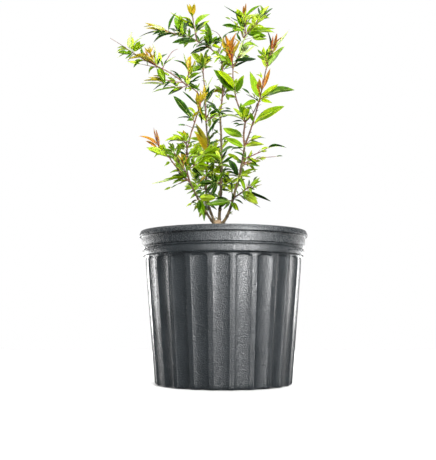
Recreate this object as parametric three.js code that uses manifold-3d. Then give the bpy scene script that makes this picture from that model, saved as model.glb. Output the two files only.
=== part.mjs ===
// A young pomegranate tree in its nursery pot: several thin stems from one stump,
// short boughs, and sprays of narrow leaves at their nodes and tips.
// Millimetres, +Z up, the origin in the middle of the pot's flat underside, -Y is the front.
import * as THREE from 'three';
import { mergeVertices } from 'three/addons/utils/BufferGeometryUtils.js';
import Module from 'manifold-3d';

const wasm = await Module();
wasm.setup();

const clearance = 0.3; // between any two pieces

// ---- pot ----
const potHeight = 250;
const wall = 2;
const floorThickness = 2.5;
const baseRadius = 113;
const shoulderRadius = 129; // top of the fluted wall
const shoulderHeight = 209;
const bandRadius = 135.5; // plain band under the lip
const bandHeight = 224;
const beadRadius = 134; // shallow bead below the band
const lipRadius = 140;
const lipHeight = 240; // underside of the drooping lip
const fluteCount = 23;
const fluteDepth = 3;
const fluteTop = 198;
const fluteTurn = -84; // degrees: where the first ridge stands, 6 to the right of the front
const fluteAngles = [-1.8, 1.8, 5.4, 10.25]; // a flat ridge between the first two, then a channel
const fluteDepths = [0, 0, 0.84, 0.84]; // shares of the depth: the channel is a shallow arc
const drainHoles = 6;
const drainRadius = 6;
const drainCircle = 90;

// ---- soil ----
const soilHeight = 225;
const soilSides = 36;
const soilRoughness = 2.2;

// ---- stump, from the soil to the fork ----
const stumpFoot = [-8, 0, soilHeight + clearance];
const stumpHeight = 45;
const stumpLean = -1; // how far its head stands off its foot, along X
const stumpSides = 12;
// share of the height, radius
const stumpSections = [[0, 18], [0.12, 12], [0.35, 8.5], [0.65, 7.2], [0.82, 8], [0.93, 7], [1, 4]];
const rootCount = 5; // the foot swells where the roots leave it
const rootSwell = 0.22;

// ---- limbs ----
// from: a point inside the stump, or the limb that carries it at its tip; reach: from start to tip;
// bend: how far the middle stands off the straight line; sway: an S along X, where there is one;
// thick: the diameters at start and tip.
const limbs = {
  stem_left_outer: { from: [-13, 0, 260], reach: [-42, -33, 69], bend: [-2, 0, -1], thick: [4.3, 2.8] },
  stem_left_inner: { from: [-11, 1, 260], reach: [-19, 34, 186], bend: [-8, 0, -4], sway: -5,
    thick: [4.4, 2.5] },
  stem_centre: { from: [-8, 0, 261], reach: [2, 2, 192], bend: [4, 0, 0], thick: [5.3, 3] },
  stem_right: { from: [-5, -1, 260], reach: [21, -13, 45], bend: [2, 0, -3], thick: [5.2, 4.1] },
  stem_right_upper: { from: 'stem_right', reach: [19, -10, 85], bend: [2, 0, 0], thick: [4.1, 3.2] },
  bough_left_low: { from: 'stem_left_outer', reach: [-32, -30, 35], bend: [0, 0, -2], thick: [2.5, 1.9] },
  bough_left_mid: { from: 'stem_left_outer', reach: [16, -2, 125], bend: [-11, 0, 0], sway: -2,
    thick: [2.9, 2] },
  bough_left_upper: { from: 'bough_left_mid', reach: [-21, -15, 32], bend: [8, 0, 4], thick: [2.1, 1.9] },
  bough_left_reach: { from: 'bough_left_upper', reach: [-44, -15, 26], bend: [1, 0, 2], thick: [2, 1.7] },
  bough_inner_top: { from: 'stem_left_inner', reach: [-6, 35, 101], bend: [1, 0, 0], thick: [2.5, 1.9] },
  bough_centre_top: { from: 'stem_centre', reach: [3, 28, 102], bend: [4, 0, -1], thick: [2.8, 2.1] },
  bough_top_left: { from: 'bough_centre_top', reach: [-44, 28, 44], bend: [2, 0, 3], thick: [2.4, 1.9] },
  bough_right_dark: { from: 'stem_right_upper', reach: [2, 8, 44], bend: [-2, 0, 0], thick: [3.1, 2.6] },
  bough_right_inner: { from: 'bough_right_dark', reach: [-20, 45, 105], bend: [-6, 0, -3],
    thick: [2.5, 1.8] },
  bough_right_red: { from: 'bough_right_dark', reach: [19, -25, 26], bend: [2, 0, -2], thick: [2.1, 1.7] },
  bough_right_outer: { from: 'stem_right_upper', reach: [33, -48, 115], bend: [3, 0, 0],
    thick: [2.7, 1.8] },
  bough_right_low: { from: 'stem_right', reach: [15, -33, 6], bend: [0, 0, 0], thick: [2.8, 2.1] },
  bough_top_right: { from: 'bough_right_inner', reach: [22, 18, 68], bend: [2, 0, -1], thick: [2, 1.6] },
};
const limbSides = 6;
const limbStep = 24; // length of one straight stretch
const collarGrowth = 0.3; // a limb is thicker by this share where it leaves its parent
const collarLength = 5;

// ---- leaves and twigs ----
// the width of each kind of leaf as a share of its length
const leafWidths = {
  green: 0.24, bright: 0.3, lime: 0.27, dark: 0.22, bronze: 0.2, orange: 0.22, red: 0.15, pale: 0.18,
};
const leafThickness = 1;
const leafRootSink = 0.5; // the root lies this far past the middle of the twig
const bladeStagger = 1.5; // leaves that stand out leave the stem this far apart
const leafWidestAt = 0.42;
const leafDroop = 0.08; // how far the tip hangs, as a share of the length
const twigSides = 3;
const twigThick = [2, 1.3];
const twigStep = 20;
const twigRise = 0.08; // how far a twig's tip curves up, as a share of its length
const openings = [68, 30]; // a leaf's angle to its twig, at the twig's foot and at its tip
const tipOpening = 24;
const angleJitter = 16;
const leastClearShare = 0.93; // of a leaf, outside the limbs
const smallestEdge = 0.06;

// ---- foliage masses ----
// on, at: the limb that carries it, and how far along. stem: bearing, tilt and length. A bearing is
// seen from the front, 0 to the right and 90 up, and a tilt leans away from the front.
// pairs, leaf, tip, kind: opposite leaves along the stem, their length, and the leaves at its end.
// blades: leaves that stand out: share of the stem, bearing, tilt, length, roll and kind, where a
// leaf at roll 0 turns its face to the front. shoots: side twigs: share, bearing, tilt, length,
// pairs, leaf, tip and kind.
const masses = [
  {
    name: 'leaves_low_left', on: 'stem_left_inner', at: 0.2, seed: 3,
    stem: [150, -45, 12], pairs: 1, leaf: 20, tip: 2, kind: 'dark',
    blades: [[0.8, -95, -20, 30, 10, 'green'], [0.8, -114, -10, 25, 10, 'lime'],
      [0.9, -14, -30, 26, 10, 'lime'],
      [0.9, 212, -10, 24, 50, 'dark']],
    shoots: [],
  },
  {
    name: 'leaves_left_hub', on: 'bough_left_mid', at: 0.06, seed: 11,
    stem: [126, -40, 50], pairs: 3, leaf: 27, tip: 4, kind: 'bronze',
    blades: [[0.12, 188, -25, 42, 75, 'green'], [0.12, 210, -10, 27, 60, 'green'],
      [0.15, 60, -60, 26, 20, 'bright']],
    shoots: [],
  },
  {
    name: 'leaves_left_inside', on: 'bough_left_mid', at: 0.16, seed: 5,
    stem: [22, -30, 20], pairs: 2, leaf: 30, tip: 3, kind: 'green',
    blades: [[0.5, 5, -35, 34, 10, 'bright'], [0.5, -40, -20, 26, 20, 'dark']],
    shoots: [],
  },
  {
    name: 'leaves_left_low_tip', on: 'bough_left_low', at: 1, seed: 8,
    stem: [137, -15, 24], pairs: 1, leaf: 24, tip: 0, kind: 'green',
    blades: [[0.15, 156, -20, 40, 15, 'lime'], [1, 150, -5, 38, 30, 'orange'],
      [0.95, 103, 0, 34, 70, 'red'],
      [0.2, 110, -45, 28, 20, 'lime'], [0.3, 178, 40, 28, 40, 'green']],
    shoots: [],
  },
  {
    name: 'leaves_left_core', on: 'bough_left_mid', at: 0.32, seed: 21,
    stem: [12, 15, 34], pairs: 3, leaf: 29, tip: 3, kind: 'green',
    blades: [[0.4, 75, -20, 26, 30, 'lime'], [0.9, 20, -20, 30, 10, 'green']],
    shoots: [[0.1, 98, -35, 30, 1, 16, 1, 'green']],
  },
  {
    name: 'leaves_left_side', on: 'bough_left_mid', at: 0.46, seed: 13,
    stem: [120, -40, 12], pairs: 0, leaf: 24, tip: 1, kind: 'green',
    blades: [[1, 146, -10, 25, 20, 'green'], [1, 177, -15, 33, 35, 'green'],
      [0.6, 200, 40, 26, 30, 'green']],
    shoots: [],
  },
  {
    name: 'leaves_left_node', on: 'bough_left_mid', at: 0.8, seed: 2,
    stem: [140, -40, 8], pairs: 1, leaf: 22, tip: 0, kind: 'green',
    blades: [[1, 127, -12, 52, 15, 'bright'], [0.8, 165, 25, 30, 70, 'dark'],
      [0.8, 40, -50, 24, 30, 'bronze']],
    shoots: [],
  },
  {
    name: 'leaves_left_tuft', on: 'bough_left_mid', at: 0.96, seed: 17,
    stem: [75, -35, 10], pairs: 0, leaf: 24, tip: 3, kind: 'bronze',
    blades: [[0.8, 95, -15, 26, 15, 'bronze'], [0.8, -80, -30, 20, 10, 'bronze'],
      [0.9, 60, 0, 26, 20, 'bronze']],
    shoots: [],
  },
  {
    name: 'leaves_left_crook', on: 'bough_left_upper', at: 1, seed: 9,
    stem: [84, 10, 20], pairs: 1, leaf: 24, tip: 1, kind: 'green',
    blades: [[1, 86, 0, 32, 10, 'bronze'], [1, 102, 20, 26, 20, 'lime'], [0.2, -32, -20, 28, 20, 'dark'],
      [0.3, 24, 10, 22, 70, 'dark'], [0.7, 60, -30, 22, 20, 'green']],
    shoots: [],
  },
  {
    name: 'leaves_left_spur', on: 'bough_left_reach', at: 0.14, seed: 6,
    stem: [184, -25, 30], pairs: 1, leaf: 18, tip: 1, kind: 'green',
    blades: [[1, 178, -10, 38, 60, 'bronze'], [1, 158, 0, 24, 60, 'bronze'], [0.6, 218, 0, 20, 40, 'dark'],
      [0.7, 197, 10, 34, 75, 'dark'], [0.4, 150, -10, 17, 10, 'green']],
    shoots: [],
  },
  {
    name: 'leaves_left_reach', on: 'bough_left_reach', at: 1, seed: 14,
    stem: [153, 5, 58], pairs: 1, leaf: 22, tip: 1, kind: 'green',
    blades: [[0.06, -62, -15, 28, 10, 'bright'], [0.06, 169, -25, 52, 75, 'green'],
      [0.06, 57, 15, 32, 75, 'dark'],
      [0.93, 85, 0, 27, 25, 'lime'], [0.95, 187, -15, 22, 60, 'lime'], [0.95, 206, 5, 22, 50, 'lime'],
      [1, 150, 0, 34, 75, 'dark'], [0.88, 62, -15, 20, 0, 'dark'], [0.85, 40, 10, 28, 35, 'green'],
      [0.1, 200, 50, 26, 30, 'green'], [0.8, 230, -10, 16, 60, 'green']],
    shoots: [[0.25, 100, -10, 14, 1, 20, 4, 'bronze'], [0.4, 150, 55, 20, 1, 22, 2, 'green']],
  },
  {
    name: 'leaves_inner_low', on: 'stem_left_inner', at: 0.36, seed: 19,
    stem: [168, 15, 18], pairs: 2, leaf: 27, tip: 3, kind: 'green',
    blades: [[0.7, 172, -25, 28, 15, 'bright']],
    shoots: [[0.5, 115, 40, 24, 1, 26, 2, 'green']],
  },
  {
    name: 'leaves_inner_mid', on: 'stem_left_inner', at: 0.5, seed: 4,
    stem: [15, -45, 16], pairs: 2, leaf: 27, tip: 3, kind: 'green',
    blades: [[0.6, -30, -20, 30, 20, 'green']],
    shoots: [[0.6, 45, 30, 22, 1, 25, 2, 'green']],
  },
  {
    name: 'leaves_inner_orange', on: 'stem_left_inner', at: 0.66, seed: 7,
    stem: [100, -50, 9], pairs: 1, leaf: 24, tip: 0, kind: 'green',
    blades: [[0.9, 116, -5, 48, 10, 'orange'], [0.9, 72, 25, 34, 60, 'dark'],
      [0.6, 165, -35, 30, 30, 'lime'],
      [0.6, 200, 20, 28, 30, 'green']],
    shoots: [[0.5, 25, -45, 18, 1, 24, 2, 'lime']],
  },
  {
    name: 'leaves_inner_upper', on: 'bough_inner_top', at: 0.05, seed: 12,
    stem: [60, -30, 9], pairs: 0, leaf: 20, tip: 1, kind: 'dark',
    blades: [[0.9, 74, 15, 38, 70, 'pale'], [0.9, 28, -10, 28, 45, 'dark'],
      [0.6, 150, 30, 22, 20, 'bronze']],
    shoots: [[0.3, 20, 60, 22, 1, 24, 2, 'green']],
  },
  {
    name: 'leaves_inner_top', on: 'bough_inner_top', at: 1, seed: 16,
    stem: [92, 10, 12], pairs: 1, leaf: 20, tip: 2, kind: 'green',
    blades: [[0.9, 78, 0, 29, 20, 'dark'], [0.9, 99, -20, 25, 10, 'lime'], [0.5, 64, 10, 20, 40, 'bronze'],
      [0.7, 132, 20, 25, 30, 'green'], [0.6, 172, -10, 17, 40, 'green'], [0.3, 48, -10, 27, 75, 'dark'],
      [0.1, 203, -20, 34, 78, 'dark']],
    shoots: [[0.3, 120, 60, 18, 1, 24, 2, 'green']],
  },
  {
    name: 'leaves_centre_back', on: 'stem_centre', at: 0.3, seed: 18,
    stem: [70, 60, 46], pairs: 3, leaf: 28, tip: 3, kind: 'green',
    blades: [],
    shoots: [[0.45, 150, 30, 26, 2, 26, 2, 'green'], [0.5, 15, 40, 28, 1, 26, 2, 'green']],
  },
  {
    name: 'leaves_centre_front', on: 'stem_centre', at: 0.37, seed: 23,
    stem: [195, -62, 24], pairs: 3, leaf: 28, tip: 3, kind: 'dark',
    blades: [[0.8, 180, -10, 26, 30, 'pale'], [0.7, 60, -20, 24, 15, 'green']],
    shoots: [],
  },
  {
    name: 'leaves_centre_mid', on: 'stem_centre', at: 0.52, seed: 1,
    stem: [110, -50, 9], pairs: 1, leaf: 22, tip: 0, kind: 'green',
    blades: [[0.7, 35, -20, 30, 70, 'dark'], [0.9, 56, 15, 24, 70, 'lime'], [0.9, 114, -10, 28, 15, 'lime'],
      [0.8, 165, 10, 20, 30, 'dark']],
    shoots: [],
  },
  {
    name: 'leaves_centre_upper', on: 'stem_centre', at: 0.94, seed: 22,
    stem: [60, -50, 8], pairs: 0, leaf: 20, tip: 0, kind: 'green',
    blades: [[0.8, 20, -20, 15, 0, 'dark'], [0.9, 137, -5, 36, 78, 'dark'], [0.9, -2, -10, 28, 65, 'pale'],
      [0.6, 238, -25, 30, 40, 'dark']],
    shoots: [],
  },
  {
    name: 'leaves_upper_back', on: 'bough_centre_top', at: 0.3, seed: 26,
    stem: [60, 45, 42], pairs: 3, leaf: 25, tip: 3, kind: 'green',
    blades: [],
    shoots: [[0.4, 120, 55, 24, 1, 24, 2, 'bronze']],
  },
  {
    name: 'leaves_top_hub', on: 'bough_top_left', at: 0.45, seed: 10,
    stem: [100, -30, 10], pairs: 2, leaf: 22, tip: 1, kind: 'dark',
    blades: [[0.8, 92, 0, 30, 15, 'dark'], [0.8, 32, -20, 24, 25, 'dark'], [0.6, 190, -15, 28, 35, 'dark'],
      [0.9, 62, 25, 28, 35, 'green'], [0.8, -20, -20, 22, 30, 'green'], [0.9, 140, -40, 22, 20, 'green']],
    shoots: [],
  },
  {
    name: 'leaves_top_left', on: 'bough_top_left', at: 1, seed: 15,
    stem: [101, 5, 46], pairs: 1, leaf: 15, tip: 0, kind: 'dark',
    blades: [[0.5, 132, -20, 17, 0, 'dark'], [0.4, 36, -10, 34, 30, 'lime'], [0.25, 48, 15, 25, 60, 'dark'],
      [1, 101, 0, 25, 15, 'bronze'], [1, 78, -10, 23, 30, 'bronze'], [1, 90, 20, 20, 60, 'bronze']],
    shoots: [],
  },
  {
    name: 'leaves_top_reach', on: 'bough_top_left', at: 0.86, seed: 24,
    stem: [166, -5, 66], pairs: 1, leaf: 17, tip: 0, kind: 'dark',
    blades: [[0.56, 65, 5, 34, 65, 'dark'], [0.48, 94, -10, 28, 5, 'bright'], [0.3, 45, 0, 16, 30, 'dark'],
      [0.42, 143, 10, 30, 65, 'dark'], [1, 153, 0, 27, 25, 'pale'], [1, 165, -15, 28, 20, 'pale'],
      [1, 178, 10, 24, 40, 'pale'], [0.7, 188, 20, 44, 80, 'dark'], [0.08, 195, -30, 38, 20, 'dark'],
      [0.35, 160, 50, 26, 30, 'green'], [0.1, 175, 30, 22, 55, 'dark']],
    shoots: [[0.25, 130, 55, 20, 1, 22, 2, 'green']],
  },
  {
    name: 'leaves_crown_right', on: 'bough_right_inner', at: 0.58, seed: 20,
    stem: [90, -45, 7], pairs: 0, leaf: 20, tip: 0, kind: 'green',
    blades: [[0.8, 131, -10, 48, 20, 'green'], [0.8, 58, -10, 30, 0, 'bright']],
    shoots: [],
  },
  {
    name: 'leaves_crown_orange', on: 'bough_right_inner', at: 1, seed: 27,
    stem: [96, -25, 26], pairs: 0, leaf: 20, tip: 2, kind: 'orange',
    blades: [[0.3, 106, -5, 42, 15, 'orange'], [0.6, 90, 0, 38, 20, 'orange'],
      [0.7, 76, -10, 30, 30, 'red'],
      [0.2, 122, -20, 24, 10, 'bright'], [0.1, 152, -10, 24, 40, 'green'], [0.4, 8, -10, 42, 78, 'dark'],
      [0.1, 27, -15, 30, 78, 'dark'], [0.1, 186, 10, 18, 60, 'dark']],
    shoots: [[0.2, 130, 60, 18, 1, 24, 2, 'green']],
  },
  {
    name: 'leaves_crown_pale', on: 'bough_top_right', at: 0.3, seed: 25,
    stem: [40, -50, 7], pairs: 0, leaf: 22, tip: 0, kind: 'pale',
    blades: [[0.8, 66, -10, 52, 55, 'pale'], [0.8, 20, 40, 26, 40, 'green']],
    shoots: [],
  },
  {
    name: 'leaves_crown_top', on: 'bough_top_right', at: 1, seed: 28,
    stem: [101, 10, 27], pairs: 1, leaf: 22, tip: 1, kind: 'lime',
    blades: [[0.2, 112, -10, 44, 15, 'green'], [1, 84, 0, 28, 40, 'red'], [0.8, 36, 10, 32, 40, 'lime'],
      [0.05, 4, -15, 54, 65, 'lime'], [0.1, 166, -10, 24, 25, 'green'], [0.7, 147, 0, 26, 70, 'dark'],
      [0.35, 148, 15, 30, 70, 'dark'], [0.05, -12, -25, 42, 35, 'green']],
    shoots: [[0.3, 160, 60, 18, 1, 22, 2, 'green'], [0.4, 60, -60, 20, 1, 22, 2, 'lime']],
  },
  {
    name: 'leaves_crown_sprig', on: 'bough_top_right', at: 0.93, seed: 30,
    stem: [43, -25, 42], pairs: 1, leaf: 20, tip: 0, kind: 'lime',
    blades: [[0.15, 46, -5, 30, 20, 'green'], [1, 56, 0, 27, 20, 'lime'], [0.9, 97, 0, 22, 60, 'dark'],
      [0.9, 40, -10, 25, 75, 'dark'], [0.7, 110, -20, 16, 0, 'lime'], [0.9, 20, 30, 22, 40, 'green']],
    shoots: [],
  },
  {
    name: 'leaves_right_low', on: 'stem_right', at: 0.93, seed: 29,
    stem: [190, -50, 7], pairs: 1, leaf: 20, tip: 0, kind: 'dark',
    blades: [[0.9, 184, -5, 42, 25, 'green'], [0.9, 165, 25, 28, 40, 'dark'],
      [0.5, -62, -20, 19, 0, 'green'],
      [0.9, 205, 30, 24, 30, 'dark']],
    shoots: [],
  },
  {
    name: 'leaves_right_spur', on: 'bough_right_low', at: 1, seed: 31,
    stem: [38, -20, 22], pairs: 1, leaf: 15, tip: 2, kind: 'dark',
    blades: [[0.1, -26, -20, 28, 5, 'lime'], [0.1, -14, 15, 48, 75, 'dark'], [0.1, 98, 30, 24, 20, 'green'],
      [0.2, -80, -50, 22, 20, 'green']],
    shoots: [[0.3, 10, -55, 20, 1, 24, 2, 'green']],
  },
  {
    name: 'leaves_right_node', on: 'stem_right_upper', at: 0.38, seed: 32,
    stem: [60, -50, 7], pairs: 0, leaf: 20, tip: 0, kind: 'green',
    blades: [[0.8, 120, -20, 36, 15, 'green'], [0.8, 24, -10, 33, 45, 'green'],
      [0.6, -66, -20, 24, 15, 'green'],
      [0.6, 168, 25, 32, 60, 'dark'], [0.9, 10, -40, 18, 5, 'lime'], [0.6, 45, 60, 26, 30, 'green']],
    shoots: [],
  },
  {
    name: 'leaves_right_arch', on: 'stem_right_upper', at: 0.75, seed: 33,
    stem: [17, -20, 44], pairs: 2, leaf: 13, tip: 0, kind: 'green',
    blades: [[1, 6, -10, 34, 70, 'dark'], [0.15, -32, 0, 22, 50, 'dark'], [0.1, 150, -20, 24, 60, 'dark']],
    shoots: [],
  },
  {
    name: 'leaves_right_back', on: 'stem_right_upper', at: 0.6, seed: 34,
    stem: [50, 62, 46], pairs: 3, leaf: 27, tip: 3, kind: 'green',
    blades: [],
    shoots: [[0.4, 20, 20, 26, 1, 24, 2, 'green'], [0.5, 140, 50, 24, 1, 25, 2, 'green']],
  },
  {
    name: 'leaves_right_fork', on: 'stem_right_upper', at: 0.95, seed: 35,
    stem: [90, -60, 6], pairs: 0, leaf: 20, tip: 0, kind: 'bright',
    blades: [[0.8, 153, -20, 40, 5, 'bright'], [0.8, 14, 5, 34, 35, 'green'],
      [0.5, 180, 10, 20, 60, 'dark']],
    shoots: [],
  },
  {
    name: 'leaves_right_dark', on: 'bough_right_dark', at: 0.96, seed: 36,
    stem: [140, -40, 9], pairs: 0, leaf: 24, tip: 0, kind: 'green',
    blades: [[0.9, 128, -10, 28, 20, 'green'], [0.9, 96, -20, 30, 10, 'green'],
      [0.6, 70, -30, 24, 20, 'green'],
      [0.9, 168, 5, 46, 75, 'pale'], [0.4, 182, -10, 22, 40, 'dark']],
    shoots: [],
  },
  {
    name: 'leaves_right_hub', on: 'bough_right_outer', at: 0.58, seed: 37,
    stem: [60, -40, 10], pairs: 0, leaf: 24, tip: 0, kind: 'green',
    blades: [[0.9, 18, -10, 58, 65, 'green'], [0.9, 40, -15, 38, 35, 'green'],
      [0.5, 110, -15, 52, 10, 'bright'],
      [0.9, 98, -25, 32, 20, 'orange'], [0.4, 144, 15, 28, 70, 'dark'], [0.5, -25, -40, 26, 20, 'green']],
    shoots: [],
  },
  {
    name: 'leaves_right_blade', on: 'bough_right_outer', at: 0.3, seed: 38,
    stem: [35, -30, 7], pairs: 0, leaf: 24, tip: 0, kind: 'green',
    blades: [[0.8, 31, -10, 58, 20, 'green'], [0.6, 120, -50, 26, 20, 'green']],
    shoots: [],
  },
  {
    name: 'leaves_right_tip', on: 'bough_right_outer', at: 1, seed: 39,
    stem: [73, -10, 30], pairs: 1, leaf: 22, tip: 0, kind: 'lime',
    blades: [[0.1, 97, -15, 39, 8, 'lime'], [0.1, 54, -5, 49, 45, 'dark'], [1, 83, 0, 28, 25, 'red'],
      [1, 56, 5, 36, 65, 'red'], [0.95, 98, -5, 38, 70, 'dark']],
    shoots: [[0.3, 120, -60, 18, 1, 22, 2, 'green']],
  },
];

// ---- finishes ----
const finishes = {
  pot: { color: 0x2b2e31, roughness: 0.42, metalness: 0 },
  soil: { color: 0x38211b, roughness: 0.95, metalness: 0 },
  bark: { color: 0x6f5c48, roughness: 0.85, metalness: 0 },
  young_bark: { color: 0x7a4a3c, roughness: 0.7, metalness: 0 },
  green: { color: 0x5a9614, roughness: 0.45, metalness: 0 },
  bright: { color: 0x7fb81e, roughness: 0.4, metalness: 0 },
  lime: { color: 0xa9c428, roughness: 0.4, metalness: 0 },
  dark: { color: 0x32600f, roughness: 0.5, metalness: 0 },
  bronze: { color: 0xb98a1c, roughness: 0.45, metalness: 0 },
  orange: { color: 0xc9660f, roughness: 0.45, metalness: 0 },
  pale: { color: 0xc6cc8a, roughness: 0.5, metalness: 0 },
};

// ---- small helpers ----
const front = new THREE.Vector3(0, -1, 0);
const up = new THREE.Vector3(0, 0, 1);
const radians = THREE.MathUtils.degToRad;

function vector(array) {
  return new THREE.Vector3(...array);
}

function bearingVector(bearing, tilt) {
  const lean = Math.cos(radians(tilt));
  return new THREE.Vector3(
    Math.cos(radians(bearing)) * lean, Math.sin(radians(tilt)), Math.sin(radians(bearing)) * lean);
}

// A repeatable run of numbers between 0 and 1 from a whole-number seed.
function seededNumbers(seed) {
  let state = seed * 7919;
  return () => {
    state = (state * 16807) % 2147483647;
    return state / 2147483647;
  };
}

function meshGeometry(points, triangles) {
  const geometry = new THREE.BufferGeometry();
  geometry.setAttribute('position', new THREE.Float32BufferAttribute(points.flat(), 3));
  geometry.setIndex(triangles.flat());
  return geometry;
}

function solidOf(geometry) {
  const bare = geometry.clone();
  bare.deleteAttribute('normal');
  bare.deleteAttribute('uv');
  const merged = mergeVertices(bare, 1e-4);
  return new wasm.Manifold(new wasm.Mesh({
    numProp: 3,
    vertProperties: new Float32Array(merged.attributes.position.array),
    triVerts: new Uint32Array(merged.index.array),
  }));
}

function geometryOf(solid) {
  const mesh = solid.getMesh();
  const geometry = new THREE.BufferGeometry();
  geometry.setAttribute('position', new THREE.BufferAttribute(new Float32Array(mesh.vertProperties), 3));
  geometry.setIndex(new THREE.BufferAttribute(new Uint32Array(mesh.triVerts), 1));
  geometry.computeVertexNormals();
  return geometry;
}

function largestBody(solid) {
  const bodies = solid.decompose();
  bodies.sort((a, b) => b.volume() - a.volume());
  return bodies[0];
}

function boxesMeet(a, b, gap) {
  return [0, 1, 2].every((i) => a.min[i] - gap < b.max[i] && b.min[i] - gap < a.max[i]);
}

// Rings of equal length stacked into one closed skin; a ring of one point closes an end.
function skinOver(rings) {
  const points = rings.flat();
  const triangles = [];
  let start = 0;
  for (let k = 0; k + 1 < rings.length; k++) {
    const here = rings[k].length;
    const next = rings[k + 1].length;
    const count = Math.max(here, next);
    for (let i = 0; i < count; i++) {
      const a = start + (i % here);
      const b = start + ((i + 1) % here);
      const c = start + here + (i % next);
      const d = start + here + ((i + 1) % next);
      if (here > 1) triangles.push([a, b, next > 1 ? d : c]);
      if (next > 1) triangles.push([a, d, c]);
    }
    start += here;
  }
  return meshGeometry(points, triangles);
}

// A round rod of changing radius along a list of points.
function rod(path, radii, sides) {
  const whole = path[path.length - 1].clone().sub(path[0]).normalize();
  const reference = Math.abs(whole.y) < 0.9 ? front : new THREE.Vector3(1, 0, 0);
  const rings = path.map((point, k) => {
    const along = path[Math.min(k + 1, path.length - 1)].clone().sub(path[Math.max(k - 1, 0)]).normalize();
    const across = new THREE.Vector3().crossVectors(reference, along).normalize();
    const normal = new THREE.Vector3().crossVectors(along, across);
    return Array.from({ length: sides }, (_, i) => {
      const angle = (2 * Math.PI * i) / sides;
      return point.clone()
        .addScaledVector(across, radii[k] * Math.cos(angle))
        .addScaledVector(normal, radii[k] * Math.sin(angle))
        .toArray();
    });
  });
  return skinOver([[path[0].toArray()], ...rings, [path[path.length - 1].toArray()]]);
}

// ---- pot, soil and stump ----

// A ring of the pot; grooved is the share of the flute depth taken off in the channels.
function potRing(height, radius, grooved) {
  const ring = [];
  for (let flute = 0; flute < fluteCount; flute++) {
    fluteAngles.forEach((offset, k) => {
      const angle = radians(fluteTurn + (flute * 360) / fluteCount + offset);
      const r = radius - fluteDepths[k] * fluteDepth * grooved;
      ring.push([r * Math.cos(angle), r * Math.sin(angle), height]);
    });
  }
  return ring;
}

function makePot() {
  const outside = [
    [0, baseRadius - 4, 1], [4, baseRadius, 1],
    [fluteTop, shoulderRadius - 1, 1], [shoulderHeight - 2, shoulderRadius, 0],
    [shoulderHeight, beadRadius, 0], [bandHeight - 3, beadRadius, 0], [bandHeight, bandRadius, 0],
    [lipHeight, bandRadius, 0], [lipHeight, lipRadius, 0], [potHeight, bandRadius + 1.5, 0],
  ];
  const inside = [
    [potHeight, bandRadius - wall, 0], [shoulderHeight + wall, beadRadius - wall, 0],
    [shoulderHeight - 2, shoulderRadius - wall, 0], [fluteTop, shoulderRadius - 1 - wall, 1],
    [floorThickness + 4, baseRadius - wall, 1],
    [floorThickness, baseRadius - 4 - wall, 1],
  ];
  const rings = [...outside, ...inside].map((row) => potRing(...row));
  let pot = solidOf(skinOver([[[0, 0, 0]], ...rings, [[0, 0, floorThickness]]]));
  for (let k = 0; k < drainHoles; k++) {
    const angle = (2 * Math.PI * (k + 0.5)) / drainHoles;
    const drill = new THREE.CylinderGeometry(drainRadius, drainRadius, 4 * floorThickness, 8);
    drill.rotateX(Math.PI / 2);
    drill.translate(drainCircle * Math.cos(angle), drainCircle * Math.sin(angle), 0);
    pot = pot.subtract(solidOf(drill));
  }
  return pot;
}

// The soil fills the pot inside its channels, and its top rises and falls a little.
function makeSoil() {
  const inset = wall + fluteDepth + clearance;
  const sections = [
    [floorThickness + clearance, baseRadius - inset - 5], [floorThickness + 6, baseRadius - inset - 0.5],
    [fluteTop, shoulderRadius - 1 - inset - 0.5], [shoulderHeight, shoulderRadius - wall - 2],
    [shoulderHeight + 5, beadRadius - wall - 1],
    [soilHeight - 3, beadRadius - wall - 0.5],
  ];
  const ringAt = (height, radius, rough) => Array.from({ length: soilSides }, (_, i) => {
    const angle = (2 * Math.PI * i) / soilSides;
    const wave = Math.sin(3 * angle + radius / 9) * Math.cos(5 * angle - radius / 13);
    return [radius * Math.cos(angle), radius * Math.sin(angle), height + rough * soilRoughness * wave];
  });
  const rings = sections.map(([height, radius]) => ringAt(height, radius, 0));
  [[122, 0.8], [90, 1], [60, 0.8], [32, 0]].forEach(([radius, rough]) => {
    rings.push(ringAt(soilHeight, radius, rough));
  });
  return solidOf(skinOver([[[0, 0, floorThickness + clearance]], ...rings, [[0, 0, soilHeight]]]));
}

// Level rings, so that the foot is a flat cut, with a lobe over each root that fades upwards.
function makeStump(growth = 0) {
  const rings = stumpSections.map(([share, radius]) => {
    const middle = stumpFoot[0] + stumpLean * share;
    const height = stumpFoot[2] + (stumpHeight + growth) * share;
    return Array.from({ length: stumpSides }, (_, i) => {
      const angle = (2 * Math.PI * i) / stumpSides;
      const lobe = 1 + rootSwell * Math.exp(-6 * share) * Math.cos(rootCount * angle);
      const r = radius * lobe + growth;
      return [middle + r * Math.cos(angle), stumpFoot[1] + r * Math.sin(angle), height];
    });
  });
  const head = [stumpFoot[0] + stumpLean, stumpFoot[1], stumpFoot[2] + stumpHeight + growth];
  return solidOf(skinOver([[stumpFoot], ...rings, [head]]));
}

// ---- limbs ----

function limbPoint(limb, share) {
  const point = limb.start.clone().addScaledVector(vector(limb.reach), share);
  point.addScaledVector(vector(limb.bend), 4 * share * (1 - share));
  point.x += (limb.sway ?? 0) * Math.sin(2 * Math.PI * share);
  return point;
}

function limbRadius(limb, share) {
  const radius = THREE.MathUtils.lerp(limb.thick[0], limb.thick[1], share) / 2;
  const distance = share * vector(limb.reach).length();
  return radius * (1 + collarGrowth * Math.exp(-distance / collarLength));
}

function limbSolid(limb, growth = 0) {
  const steps = Math.max(2, Math.round(vector(limb.reach).length() / limbStep));
  const shares = [0, 0.5 / steps, ...Array.from({ length: steps }, (_, k) => (k + 1) / steps)];
  const path = shares.map((share) => limbPoint(limb, share));
  const last = path[path.length - 1];
  last.addScaledVector(last.clone().sub(path[path.length - 2]).normalize(), growth);
  return solidOf(rod(path, shares.map((share) => limbRadius(limb, share) + growth), limbSides));
}

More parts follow.
